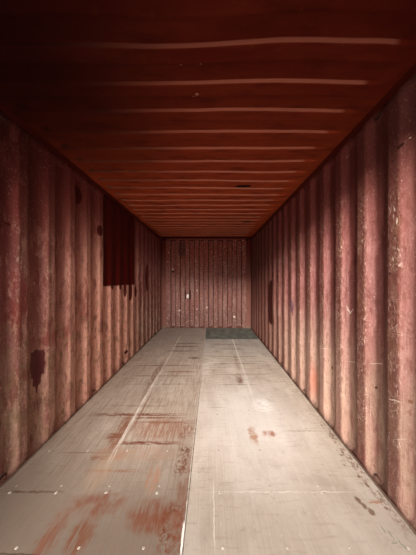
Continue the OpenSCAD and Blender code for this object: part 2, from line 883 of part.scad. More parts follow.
module door_gasket(s) {
    y0 = leaf_offset + leaf_t - gasket_t - gasket_back;
    color(rubber) leaf(s) difference() {
        block([leaf_near - gasket_lip, y0, leaf_low - gasket_lip],
            [leaf_far + gasket_lip, y0 + gasket_t, leaf_high + gasket_lip]);
        block([leaf_near, y0 - 1, leaf_low], [leaf_far, y0 + gasket_t + 1, leaf_high]);
    }
}

// Hinge blades and pins
module door_hinges(s) {
    pin_half = knuckle_h / 2 + hinge_gap + lug_h + pin_out;
    color(oxide_dark) leaf(s) for (z = hinge_zs) {
        translate([0, 0, z - knuckle_h / 2]) linear_extrude(knuckle_h) union() {
            circle(knuckle_r);
            polygon([
                knuckle_r * [-sin(blade_turn), cos(blade_turn)],
                knuckle_r * [cos(blade_turn), -sin(blade_turn)],
                [leaf_near + lug_root, leaf_offset - blade_t], [leaf_near + blade_w, leaf_offset - blade_t],
                [leaf_near + blade_w, leaf_offset], [leaf_near - lug_root, leaf_offset]
            ]);
        }
        translate([0, 0, z - pin_half]) cylinder(r = pin_r, h = 2 * pin_half);
    }
}

// Lock rods with a cam at each end
module lock_rods(s) {
    eye = rod_r + cam_wall;
    color(galvanised) leaf(s) for (r = rods) translate([r, leaf_offset - rod_offset, 0]) {
        translate([0, 0, rod_low]) cylinder(r = rod_r, h = rod_high - rod_low);
        for (z = [rod_low, rod_high - cam_h]) translate([0, 0, z]) linear_extrude(cam_h) union() {
            circle(eye);
            polygon([
                [-rod_r, 0], [rod_r, 0], [eye + cam_wall, -eye], [cam_reach, -eye],
                [cam_reach, cam_nose - eye], [eye, rod_r - cam_wall]
            ]);
        }
    }
}

// Handles, their hubs, the catches that hold them and the brackets that guide the rods
module door_handles(s) {
    color(galvanised) leaf(s) {
        for (i = [0, 1]) {
            z = floor_top + handle_z + i * handle_rise;
            d = i == 0 ? 1 : -1;
            catch_x = rods[i] + d * (handle_l - catch_w) - catch_w / 2;
            catch_y = leaf_offset + panel_setback - rod_offset - handle_t / 2;
            translate([rods[i], leaf_offset - rod_offset, z]) {
                linear_extrude(hub_h, center = true) difference() {
                    circle(rod_r + hub_wall);
                    circle(rod_r + bore_gap);
                }
                mirror([d > 0 ? 0 : 1, 0, 0]) handle_bar();
            }
            translate([catch_x, catch_y, z - handle_h / 2 - catch_gap - catch_h])
                cube([catch_w, rod_offset + handle_t / 2, catch_h]);
        }
        for (r = rods, z = [leaf_low + ledger_h / 2, leaf_high - ledger_h / 2])
            translate([r, leaf_offset, z]) rod_bracket(0);
        for (r = rods, z = guide_zs) translate([r, leaf_offset, z]) rod_bracket(panel_setback);
    }
}

// Flat bar with a round end, welded to the hub at the origin
module handle_bar() {
    root = rod_r + hub_wall - 1;
    translate([0, handle_t / 3, 0]) rotate([90, 0, 0]) linear_extrude(handle_t) union() {
        translate([root, -handle_h / 2]) square([handle_l - root, handle_h]);
        translate([handle_l, 0]) circle(handle_end_r);
    }
}

// Saddle that holds a rod to the leaf, its seat sunk by d behind the frame's outer face
module rod_bracket(d) {
    r = rod_r + hub_wall;
    linear_extrude(bracket_h, center = true) difference() {
        union() {
            translate([-bracket_w / 2, -bracket_t]) square([bracket_w, bracket_t + d]);
            translate([-r, -rod_offset]) square([2 * r, rod_offset]);
            translate([0, -rod_offset]) circle(r);
        }
        translate([0, -rod_offset]) circle(rod_r + bore_gap);
    }
}

// Keepers on the sill and the header, which the cams hook behind when the doors are shut
module cam_keepers() {
    low = rod_low + cam_h / 2 - keeper_off;
    high = rod_high - cam_h / 2 + keeper_off;
    color(galvanised) for (s = [-1, 1], r = rods, z = [low, high])
        on_side(s) translate([pin_x - r - keeper_w / 2, -rear_face, z])
            linear_extrude(keeper_h, center = true) polygon([
                [0, 0], [0, -keeper_d], [keeper_hook_l, -keeper_d], [keeper_hook_l, keeper_hook - keeper_d],
                [keeper_hook, keeper_hook - keeper_d], [keeper_hook, -keeper_foot], [keeper_w, -keeper_foot],
                [keeper_w, 0]
            ]);
}

castings_bottom(-1);  // castings_bottom_left
castings_bottom(1);  // castings_bottom_right
castings_top(-1);  // castings_top_left
castings_top(1);  // castings_top_right
front_post(-1);  // front_post_left
front_post(1);  // front_post_right
door_post(-1);  // door_post_left
door_post(1);  // door_post_right
bottom_rail(-1);  // bottom_rail_left
bottom_rail(1);  // bottom_rail_right
top_rail_tube(-1);  // top_rail_left
top_rail_tube(1);  // top_rail_right
front_sill();
front_header();
door_sill();
door_header();
door_frame_corners();
side_wall(-1);  // side_wall_left
side_wall(1);  // side_wall_right
front_wall();
roof();
roof_end_plates();
roof_corner_plates();
cross_members();
fork_pockets();
floor_boards_left();
floor_boards_right();
replacement_board();
floor_centre_strip();
floor_edge_bars();
lashing_rings();
ventilators();
cam_keepers();
door_frame(-1);  // door_frame_left
door_panel(-1);  // door_panel_left
door_gasket(-1);  // door_gasket_left
door_hinges(-1);  // door_hinges_left
lock_rods(-1);  // lock_rods_left
door_handles(-1);  // door_handles_left
door_frame(1);  // door_frame_right
door_panel(1);  // door_panel_right
door_gasket(1);  // door_gasket_right
door_hinges(1);  // door_hinges_right
lock_rods(1);  // lock_rods_right
door_handles(1);  // door_handles_right
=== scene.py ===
# %% [markdown]
# # A twenty-foot freight container, seen from its open doorway
#
# The container is a hollow steel box. Its shape comes from the CAD frame, which this script loads and
# never moves. What is made here is the finish: sheet metal with its dents, worn oxide paint, scuffed
# plywood, screws and bolts, and in places light and shade painted into the paint and the wood.

# %% Load the frame
import json
import math

import bpy
import numpy as np
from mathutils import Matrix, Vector


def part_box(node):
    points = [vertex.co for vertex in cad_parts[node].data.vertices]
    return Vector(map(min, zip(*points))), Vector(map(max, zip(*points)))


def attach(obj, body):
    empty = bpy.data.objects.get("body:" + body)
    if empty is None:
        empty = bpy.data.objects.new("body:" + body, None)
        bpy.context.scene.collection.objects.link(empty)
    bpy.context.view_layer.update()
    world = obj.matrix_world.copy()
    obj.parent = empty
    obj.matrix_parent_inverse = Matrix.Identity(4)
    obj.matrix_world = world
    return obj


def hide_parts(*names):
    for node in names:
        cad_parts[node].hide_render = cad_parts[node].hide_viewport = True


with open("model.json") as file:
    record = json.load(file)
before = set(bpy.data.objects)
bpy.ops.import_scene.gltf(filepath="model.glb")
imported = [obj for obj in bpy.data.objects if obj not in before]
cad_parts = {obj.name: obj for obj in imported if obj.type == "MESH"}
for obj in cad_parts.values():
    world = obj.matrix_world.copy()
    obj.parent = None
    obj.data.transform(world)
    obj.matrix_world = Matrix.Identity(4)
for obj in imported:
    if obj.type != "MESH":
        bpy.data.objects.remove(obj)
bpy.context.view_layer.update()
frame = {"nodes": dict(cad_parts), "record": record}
MM = 0.001

# %% [markdown]
# ## Two helpers
#
# Paint charts and screens give colours as sRGB hex values, while the renderer adds light up in linear
# values, so one function converts them. A second one adds a node, sets it up and links it.


# %% Colour and node helpers
def tone(hex_code):
    """Linear RGBA of an sRGB hex colour."""
    parts = [int(hex_code[i:i + 2], 16) / 255 for i in (1, 3, 5)]
    return tuple(c / 12.92 if c < 0.04045 else ((c + 0.055) / 1.055) ** 2.4 for c in parts) + (1.0,)


def add(tree, kind, inputs=None, **settings):
    """Adds a node, sets its properties, and fills its inputs with values, sockets or nodes."""
    made = tree.nodes.new(kind)
    for name, value in settings.items():
        setattr(made, name, value)
    for key, value in (inputs or {}).items():
        if isinstance(value, bpy.types.Node):
            value = next(socket for socket in value.outputs if socket.enabled)
        if isinstance(value, bpy.types.NodeSocket):
            tree.links.new(value, made.inputs[key])
        else:
            made.inputs[key].default_value = value
    return made


MATH = "ShaderNodeMath"
VECTOR_MATH = "ShaderNodeVectorMath"
RANGE = "ShaderNodeMapRange"
MIX = "ShaderNodeMix"
NOISE = "ShaderNodeTexNoise"

# %% [markdown]
# ## Camera
#
# The photograph was taken standing in the doorway with a phone's wide lens. The corrugations are a
# known distance apart, and the way they shrink towards the front wall gives the focal length and the
# eye's place. The vanishing point sits a little off the middle, which a small shift takes up.

# %% Camera in the doorway
IMAGE_W, IMAGE_H = 416, 555
FOCAL_PX = 224
VANISH_X, VANISH_Y = 211.3, 279.5
EYE_HEIGHT = 1.288
FLOOR_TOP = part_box("floor_boards_left")[1].z

camera_data = bpy.data.cameras.new("doorway_camera")
camera = bpy.data.objects.new("doorway_camera", camera_data)
bpy.context.scene.collection.objects.link(camera)
camera_data.sensor_width = 36
camera_data.lens = FOCAL_PX / IMAGE_H * camera_data.sensor_width
camera_data.shift_x = (IMAGE_W / 2 - VANISH_X) / IMAGE_H
camera_data.shift_y = (VANISH_Y - IMAGE_H / 2) / IMAGE_H
camera_data.clip_start = 0.02
camera.location = (0.135, -2.955, FLOOR_TOP + EYE_HEIGHT)
camera.rotation_euler = (math.radians(90), 0, 0)
bpy.context.scene.camera = camera
print("lens", round(camera_data.lens, 2), "mm")

# %% [markdown]
# ## Studio
#
# A pale floor and a soft sky suit the outside. The floor looks pale, but throws back as little light as
# a yard does, so that the roof keeps its depth. The world is white to the camera and to shiny
# surfaces, and a plain soft light to everything else.

# %% Stage and world
bpy.context.scene.view_settings.view_transform = "Standard"
STAGE_HALF = 40.0
SKY_STRENGTH = 0.62


def stage_floor():
    """A level square sheet, matt, pale to the eye and mid grey as a reflector."""
    mesh = bpy.data.meshes.new("studio_floor")
    corners = [(x * STAGE_HALF, y * STAGE_HALF, 0) for x, y in ((-1, -1), (1, -1), (1, 1), (-1, 1))]
    mesh.from_pydata(corners, [], [(0, 1, 2, 3)])
    made = bpy.data.objects.new("studio_floor", mesh)
    bpy.context.scene.collection.objects.link(made)
    matt = bpy.data.materials.new("studio_floor_matt")
    matt.use_nodes = True
    tree = matt.node_tree
    seen = add(tree, "ShaderNodeLightPath").outputs["Is Camera Ray"]
    look = add(tree, MIX, {"Factor": seen, "A": tone("#8c8a86"), "B": tone("#dcdad6")}, data_type="RGBA")
    shader = tree.nodes["Principled BSDF"]
    tree.links.new(look.outputs["Result"], shader.inputs["Base Color"])
    shader.inputs["Roughness"].default_value = 0.95
    mesh.materials.append(matt)
    return made


stage_floor()

world = bpy.data.worlds.new("soft_studio")
bpy.context.scene.world = world
world.use_nodes = True
sky_tree = world.node_tree
path = add(sky_tree, "ShaderNodeLightPath").outputs
shiny = add(sky_tree, MATH, {0: path["Is Camera Ray"], 1: path["Is Glossy Ray"]}, operation="MAXIMUM")
white_seen = add(sky_tree, MATH, {0: shiny, 1: path["Is Transmission Ray"]}, operation="MAXIMUM")
strength = add(sky_tree, RANGE, {"Value": white_seen, "To Min": SKY_STRENGTH, "To Max": 1.0})
sky = sky_tree.nodes["Background"]
sky.inputs["Color"].default_value = tone("#f6f6f7")
sky_tree.links.new(strength.outputs["Result"], sky.inputs["Strength"])

# %% [markdown]
# ## Lamps
#
# In the photograph daylight falls through the doorway from high up on the left. It cuts across the
# right wall, so that each corrugation has a bright and a dark side, and lands on the middle of the
# floor. A weaker one from the right fills the left wall. The roof gets only what the floor throws back,
# but for the low light from the horizon, which slips in under the door header and draws each rib as a
# bright line. Light linking keeps all three on the hold, because paint that faces them squarely would
# burn out. Two softer lamps round off the outside.

# %% Lamps
def area_lamp(name, place, aim, size, power, hue="#ffffff"):
    """A rectangular area lamp at a place, turned towards a point, and unseen itself."""
    data = bpy.data.lights.new(name, "AREA")
    data.shape = "RECTANGLE"
    data.size, data.size_y = size
    data.energy = power
    data.color = tone(hue)[:3]
    made = bpy.data.objects.new(name, data)
    bpy.context.scene.collection.objects.link(made)
    made.location = place
    made.rotation_mode = "QUATERNION"
    made.rotation_quaternion = (Vector(aim) - Vector(place)).to_track_quat("-Z", "Y")
    made.visible_camera = False
    made.visible_glossy = False
    return made


daylight = area_lamp("daylight", (-1.9, -14.0, 5.3), (0.0, -3.0, 1.2), (6.4, 2.4), 5600, "#fff8f2")
side_daylight = area_lamp("side_daylight", (3.4, -14.0, 3.2), (0.0, -2.0, 1.2), (2.4, 2.4), 520, "#fff4ec")
horizon = area_lamp("horizon", (-1.0, -11.0, 1.35), (0.0, -3.0, 1.9), (3.0, 0.6), 300, "#ffe6dc")
area_lamp("left_lamp", (-7, -6, 7), (0, 0, 1.2), (5, 5), 900)
area_lamp("right_lamp", (8, 5, 6), (0, 0, 1.2), (5, 5), 700)
hold = bpy.data.collections.new("lit_by_daylight")
for lamp in (daylight, side_daylight, horizon):
    lamp.light_linking.receiver_collection = hold
HOLD_NODES = ["floor_boards_left", "floor_boards_right", "replacement_board", "floor_centre_strip",
              "floor_edge_bars", "lashing_rings", "bottom_rail_left", "bottom_rail_right",
              "top_rail_left", "top_rail_right", "front_sill", "front_header", "front_post_left",
              "front_post_right"]
for name in HOLD_NODES:
    hold.objects.link(frame["nodes"][name])

# %% [markdown]
# ## Geometry Nodes: one tree for every corrugated sheet
#
# The side walls, the front wall and the roof are flat sheet pressed into a trapezoid wave. All follow
# one rule, so one tree makes them: a grid lies in the sheet's own frame, X along the wave and Z up it,
# and each point moves out by the wave's depth at its place. Ping-pong gives the distance from the middle
# of the nearest inner flat, and Map Range turns that into the slope. Noise adds the waviness and the
# knocks of years of cargo, fading out at the welded edges. Wave and lean are stored while the grid is still
# flat, so that the paint keeps to the folds wherever they wander.

# %% The sheet's inputs
SHEET_INPUTS = {
    "Length": 5.7, "Height": 2.3, "Columns": 700, "Rows": 60, "Waves": 20, "Pitch": 0.278,
    "Inner Flat": 0.072, "Slope": 0.068, "Depth": 0.036, "Sheet": 0.002, "Softness": 0.5, "Shift": 0.0,
    "Gather": 0.0, "End Margin": 0.0, "End Taper": 0.001, "Wander": 0.0, "Dent": 0.004,
    "Dent Size": 0.35, "Seed": 1.0, "Turn": (0.0, 0.0, 0.0), "Place": (0.0, 0.0, 0.0),
    "Inside": bpy.types.Material, "Outside": bpy.types.Material}
WELD_REACH = 120 * MM
WANDER_SIZE = 800 * MM
SMALL_KNOCK, SMALL_SHARE = 0.3, 0.5
WANDER_SEED = 7.0
JOIN_REACH = 0.1 * MM


def new_tree(name, kind, inputs, outputs):
    """An empty node tree whose sockets take their kind from the starting values."""
    tree = bpy.data.node_groups.new(name, kind)
    kinds = {float: "Float", int: "Int", tuple: "Vector", bpy.types.Material: "Material",
             bpy.types.Mesh: "Geometry"}
    for label, value in inputs.items():
        is_type = isinstance(value, type)
        socket_type = "NodeSocket" + kinds[value if is_type else type(value)]
        socket = tree.interface.new_socket(label, in_out="INPUT", socket_type=socket_type)
        if not is_type:
            socket.default_value = value
    for label, value in outputs.items():
        tree.interface.new_socket(label, in_out="OUTPUT", socket_type="NodeSocket" + kinds[value])
    return tree, add(tree, "NodeGroupInput").outputs


# %% [markdown]
# The wave and the wobble are small trees of their own, because a tree of ten nodes can be read and a
# tree of fifty can't. A third one gathers the columns of the grid at the folds: a sine with the period of
# half a corrugation moves each column towards the nearest slope, so that few columns draw sharp folds.


# %% The wave
def wave_tree():
    """How far out a sheet stands at a place along it: 0 on the inner flats, 1 on the outer ones.

    Lean is positive on the slopes that rise along the sheet and negative on those that fall.
    """
    tree, given = new_tree("pressed_wave", "GeometryNodeTree", {
        "Along": 0.0, "Waves": 20, "Pitch": 0.278, "Inner Flat": 0.072, "Slope": 0.068,
        "Softness": 0.5}, {"Wave": float, "Lean": float})
    half_pitch = add(tree, MATH, {0: given["Pitch"], 1: 0.5}, operation="MULTIPLY")
    away = add(tree, MATH, {0: given["Along"]}, operation="ABSOLUTE")
    from_flat = add(tree, MATH, {0: away, 1: half_pitch}, operation="PINGPONG")
    start = add(tree, MATH, {0: given["Inner Flat"], 1: 0.5}, operation="MULTIPLY")
    end = add(tree, MATH, {0: start, 1: given["Slope"]}, operation="ADD")
    rise = {"Value": from_flat, "From Min": start, "From Max": end}
    folded = add(tree, RANGE, rise)
    rolled = add(tree, RANGE, rise, interpolation_type="SMOOTHSTEP")
    wave = add(tree, MIX, {"Factor": given["Softness"], "A": folded, "B": rolled})
    last = add(tree, MATH, {0: given["Waves"], 1: half_pitch}, operation="MULTIPLY")
    within = add(tree, MATH, {0: away, 1: last}, operation="LESS_THAN")
    kept = add(tree, MATH, {0: wave, 1: within}, operation="MULTIPLY")
    turns = add(tree, MATH, {0: given["Along"], 1: given["Pitch"]}, operation="DIVIDE")
    angle = add(tree, MATH, {0: turns, 1: math.tau}, operation="MULTIPLY")
    lean = add(tree, MATH, {0: angle}, operation="SINE")
    add(tree, "NodeGroupOutput", {"Wave": kept, "Lean": lean})
    return tree


def wobble_tree():
    """Smooth noise between -0.5 and 0.5, with bumps of a given size in metres."""
    tree, given = new_tree("wobble", "GeometryNodeTree", {"Size": 0.4, "Seed": 1.0}, {"Wobble": float})
    where = add(tree, "GeometryNodeInputPosition")
    per_metre = add(tree, MATH, {0: 1.0, 1: given["Size"]}, operation="DIVIDE")
    noise = add(tree, NOISE, {"Vector": where, "W": given["Seed"], "Scale": per_metre, "Detail": 1.5},
                noise_dimensions="4D")
    level = add(tree, MATH, {0: noise, 1: 0.5}, operation="SUBTRACT")
    add(tree, "NodeGroupOutput", {"Wobble": level})
    return tree


def gather_tree():
    """Moves places along a sheet towards the nearest slope, as far as the waves reach."""
    tree, given = new_tree("gathered_columns", "GeometryNodeTree", {
        "Along": 0.0, "Waves": 20, "Pitch": 0.278, "Gather": 0.0}, {"Along": float})
    half_pitch = add(tree, MATH, {0: given["Pitch"], 1: 0.5}, operation="MULTIPLY")
    radians = add(tree, MATH, {0: math.tau, 1: half_pitch}, operation="DIVIDE")
    angle = add(tree, MATH, {0: given["Along"], 1: radians}, operation="MULTIPLY")
    sine = add(tree, MATH, {0: angle}, operation="SINE")
    reach = add(tree, MATH, {0: given["Gather"], 1: radians}, operation="DIVIDE")
    last = add(tree, MATH, {0: given["Waves"], 1: half_pitch}, operation="MULTIPLY")
    away = add(tree, MATH, {0: given["Along"]}, operation="ABSOLUTE")
    within = add(tree, MATH, {0: away, 1: last}, operation="LESS_THAN")
    reach = add(tree, MATH, {0: reach, 1: within}, operation="MULTIPLY")
    moved = add(tree, MATH, {0: sine, 1: reach, 2: given["Along"]}, operation="MULTIPLY_ADD")
    add(tree, "NodeGroupOutput", {"Along": moved})
    return tree


WAVE = wave_tree()
WOBBLE = wobble_tree()
GATHER = gather_tree()


# %% The corrugated sheet
def sheet_tree():
    """Grid to pressed sheet: inner skin, outer skin and rim, closed."""
    tree, given = new_tree("corrugated_sheet", "GeometryNodeTree",
                           {"Geometry": bpy.types.Mesh, **SHEET_INPUTS}, {"Geometry": bpy.types.Mesh})
    group = "GeometryNodeGroup"
    flat = add(tree, "GeometryNodeMeshGrid", {
        "Size X": given["Length"], "Size Y": given["Height"],
        "Vertices X": given["Columns"], "Vertices Y": given["Rows"]})
    place = add(tree, "ShaderNodeSeparateXYZ", {0: add(tree, "GeometryNodeInputPosition")}).outputs
    unshifted = add(tree, MATH, {0: place["X"], 1: given["Shift"]}, operation="SUBTRACT")
    along = add(tree, group, {"Along": unshifted, **{label: given[label] for label in (
        "Waves", "Pitch", "Gather")}}, node_tree=GATHER)
    folded = add(tree, group, {"Along": along, **{label: given[label] for label in (
        "Waves", "Pitch", "Inner Flat", "Slope", "Softness")}}, node_tree=WAVE).outputs
    beside = add(tree, MATH, {0: place["Y"]}, operation="ABSOLUTE")
    from_end = add(tree, MATH, {0: given["Height"], 1: 0.5}, operation="MULTIPLY")
    from_end = add(tree, MATH, {0: from_end, 1: beside}, operation="SUBTRACT")
    past_margin = add(tree, MATH, {0: from_end, 1: given["End Margin"]}, operation="SUBTRACT")
    taper = add(tree, MATH, {0: past_margin, 1: given["End Taper"]}, operation="DIVIDE", use_clamp=True)
    wave = add(tree, MATH, {0: folded["Wave"], 1: taper}, operation="MULTIPLY")
    away = add(tree, MATH, {0: place["X"]}, operation="ABSOLUTE")
    from_side = add(tree, MATH, {0: given["Length"], 1: 0.5}, operation="MULTIPLY")
    from_side = add(tree, MATH, {0: from_side, 1: away}, operation="SUBTRACT")
    loose_x = add(tree, RANGE, {"Value": from_side, "From Max": WELD_REACH})
    loose_y = add(tree, RANGE, {"Value": from_end, "From Max": WELD_REACH})
    loose = add(tree, MATH, {0: loose_x, 1: loose_y}, operation="MULTIPLY")
    wander_seed = add(tree, MATH, {0: given["Seed"], 1: WANDER_SEED}, operation="ADD")
    wander = add(tree, group, {"Size": WANDER_SIZE, "Seed": wander_seed}, node_tree=WOBBLE)
    wander = add(tree, MATH, {0: wander, 1: given["Wander"]}, operation="MULTIPLY")
    wander = add(tree, MATH, {0: wander, 1: loose, 2: given["Shift"]}, operation="MULTIPLY_ADD")
    column = add(tree, MATH, {0: along, 1: wander}, operation="ADD")
    small = add(tree, MATH, {0: given["Dent Size"], 1: SMALL_KNOCK}, operation="MULTIPLY")
    broad = add(tree, group, {"Size": given["Dent Size"], "Seed": given["Seed"]}, node_tree=WOBBLE)
    knocks = add(tree, group, {"Size": small, "Seed": given["Seed"]}, node_tree=WOBBLE)
    knocks = add(tree, MATH, {0: knocks, 1: SMALL_SHARE, 2: broad}, operation="MULTIPLY_ADD")
    knocks = add(tree, MATH, {0: knocks, 1: given["Dent"]}, operation="MULTIPLY")
    knocks = add(tree, MATH, {0: knocks, 1: loose}, operation="MULTIPLY")
    out = add(tree, MATH, {0: wave, 1: given["Depth"], 2: knocks}, operation="MULTIPLY_ADD")
    pressed = add(tree, "ShaderNodeCombineXYZ", {"X": column, "Y": out, "Z": place["Y"]})
    marked = add(tree, "GeometryNodeStoreNamedAttribute", {
        "Geometry": flat, "Name": "wave", "Value": wave}, data_type="FLOAT", domain="POINT")
    marked = add(tree, "GeometryNodeStoreNamedAttribute", {
        "Geometry": marked, "Name": "lean", "Value": folded["Lean"]}, data_type="FLOAT", domain="POINT")
    shaped = add(tree, "GeometryNodeSetPosition", {"Geometry": marked, "Position": pressed})
    smooth = add(tree, "GeometryNodeSetShadeSmooth", {"Geometry": shaped})
    outward = add(tree, "ShaderNodeCombineXYZ", {"Y": given["Sheet"]})
    thick = add(tree, "GeometryNodeExtrudeMesh", {
        "Mesh": smooth, "Offset": outward, "Individual": False}).outputs
    skin = add(tree, "GeometryNodeStoreNamedAttribute", {
        "Geometry": thick["Mesh"], "Name": "outer_skin", "Value": thick["Top"]},
        data_type="BOOLEAN", domain="FACE")
    rim = add(tree, "GeometryNodeSetShadeSmooth", {
        "Geometry": skin, "Selection": thick["Side"], "Shade Smooth": False})
    outer = add(tree, "GeometryNodeFlipFaces", {"Mesh": rim})
    joined = add(tree, "GeometryNodeJoinGeometry", {0: smooth})
    tree.links.new(outer.outputs[0], joined.inputs[0])
    welded = add(tree, "GeometryNodeMergeByDistance", {"Geometry": joined, "Distance": JOIN_REACH})
    placed = add(tree, "GeometryNodeTransform", {
        "Geometry": welded, "Translation": given["Place"], "Rotation": given["Turn"]})
    real = add(tree, "GeometryNodeRealizeInstances", {"Geometry": placed})
    inside = add(tree, "GeometryNodeSetMaterial", {"Geometry": real, "Material": given["Inside"]})
    is_outer = add(tree, "GeometryNodeInputNamedAttribute", {"Name": "outer_skin"}, data_type="BOOLEAN")
    done = add(tree, "GeometryNodeSetMaterial", {
        "Geometry": inside, "Material": given["Outside"], "Selection": is_outer})
    add(tree, "NodeGroupOutput", {"Geometry": done})
    return tree


CORRUGATED = sheet_tree()
print("corrugated sheet tree has", len(CORRUGATED.nodes), "nodes")

# %% [markdown]
# A modifier builds the tree's result live. The finished piece is a plain mesh, so the result is taken
# from the evaluated object and the modifier goes.


# %% From a tree to a plain mesh
def build(name, tree, values, points=()):
    """Runs a tree on a few points and returns the result as a plain mesh object."""
    seed_mesh = bpy.data.meshes.new(name + "_points")
    seed_mesh.from_pydata([tuple(p) for p in points], [], [])
    made = bpy.data.objects.new(name, seed_mesh)
    bpy.context.scene.collection.objects.link(made)
    modifier = made.modifiers.new("build", "NODES")
    modifier.node_group = tree
    for item in tree.interface.items_tree:
        if item.in_out == "INPUT" and item.name in values:
            modifier[item.identifier] = values[item.name]
    graph = bpy.context.evaluated_depsgraph_get()
    mesh = bpy.data.meshes.new_from_object(made.evaluated_get(graph))
    made.modifiers.clear()
    made.data = mesh
    mesh.name = name
    print(name, len(mesh.polygons), "faces")
    return made


# %% [markdown]
# ## Finishes in layers
#
# The box is weathering steel under red oxide paint. Every finish here is mixed the way a painter
# ages a model: a base coat, then layers laid through masks. Two masks do nearly all of it. One is noise
# with grains of a real size in millimetres. The other is a single stain with a torn edge, at a real
# place.


# %% The two masks
def grains_tree():
    """Noise with grains of a real size: 0 where it is below Low, 1 where it is above High."""
    tree, given = new_tree("grains", "ShaderNodeTree", {
        "Position": (0.0, 0.0, 0.0), "Millimetres": (50.0, 50.0, 50.0), "Seed": 1.0, "Low": 0.4,
        "High": 0.6, "Detail": 3.0, "Roughness": 0.55}, {"Mask": float})
    metres = add(tree, VECTOR_MATH, {0: given["Millimetres"], "Scale": MM}, operation="SCALE")
    in_grains = add(tree, VECTOR_MATH, {0: given["Position"], 1: metres}, operation="DIVIDE")
    moved = add(tree, VECTOR_MATH, {0: in_grains, 1: given["Seed"]}, operation="ADD")
    noise = add(tree, NOISE, {"Vector": moved, "Scale": 1.0, "Detail": given["Detail"],
                              "Roughness": given["Roughness"]})
    mask = add(tree, RANGE, {"Value": noise, "From Min": given["Low"], "From Max": given["High"]})
    add(tree, "NodeGroupOutput", {"Mask": mask})
    return tree


def stain_tree():
    """One ellipse, or a box where Square is 1, with a torn edge. Lean tilts it."""
    tree, given = new_tree("torn_stain", "ShaderNodeTree", {
        "Position": (0.0, 0.0, 0.0), "Tear": (0.0, 0.0, 0.0), "Centre": (0.0, 0.0, 0.0),
        "Half Size": (0.1, 0.1, 0.1), "Ragged": 0.02, "Edge": 0.1, "Square": 0.0, "Lean": 0.0},
        {"Mask": float})
    torn = add(tree, VECTOR_MATH, {0: given["Tear"], 1: given["Ragged"], 2: given["Position"]},
               operation="MULTIPLY_ADD")
    local = add(tree, VECTOR_MATH, {0: torn, 1: given["Centre"]}, operation="SUBTRACT")
    axes = add(tree, "ShaderNodeSeparateXYZ", {0: local}).outputs
    leant_y = add(tree, MATH, {0: axes["X"], 1: given["Lean"], 2: axes["Y"]}, operation="MULTIPLY_ADD")
    leant_z = add(tree, MATH, {0: axes["Y"], 1: given["Lean"], 2: axes["Z"]}, operation="MULTIPLY_ADD")
    leant = add(tree, "ShaderNodeCombineXYZ", {"X": axes["X"], "Y": leant_y, "Z": leant_z})
    scaled = add(tree, VECTOR_MATH, {0: leant, 1: given["Half Size"]}, operation="DIVIDE")
    round_far = add(tree, VECTOR_MATH, {0: scaled}, operation="LENGTH").outputs["Value"]
    positive = add(tree, VECTOR_MATH, {0: scaled}, operation="ABSOLUTE")
    sides = add(tree, "ShaderNodeSeparateXYZ", {0: positive}).outputs
    widest = add(tree, MATH, {0: sides["X"], 1: sides["Y"]}, operation="MAXIMUM")
    square_far = add(tree, MATH, {0: widest, 1: sides["Z"]}, operation="MAXIMUM")
    far = add(tree, MIX, {"Factor": given["Square"], "A": round_far, "B": square_far})
    full = add(tree, MATH, {0: 1.0, 1: given["Edge"]}, operation="SUBTRACT")
    mask = add(tree, RANGE, {"Value": far, "From Min": 1.0, "From Max": full},
               interpolation_type="SMOOTHSTEP")
    add(tree, "NodeGroupOutput", {"Mask": mask})
    return tree


GRAINS = grains_tree()
STAIN = stain_tree()
# Half a length that reaches past the box, for marks that go by their place on a face alone
ANYWHERE = 20.0


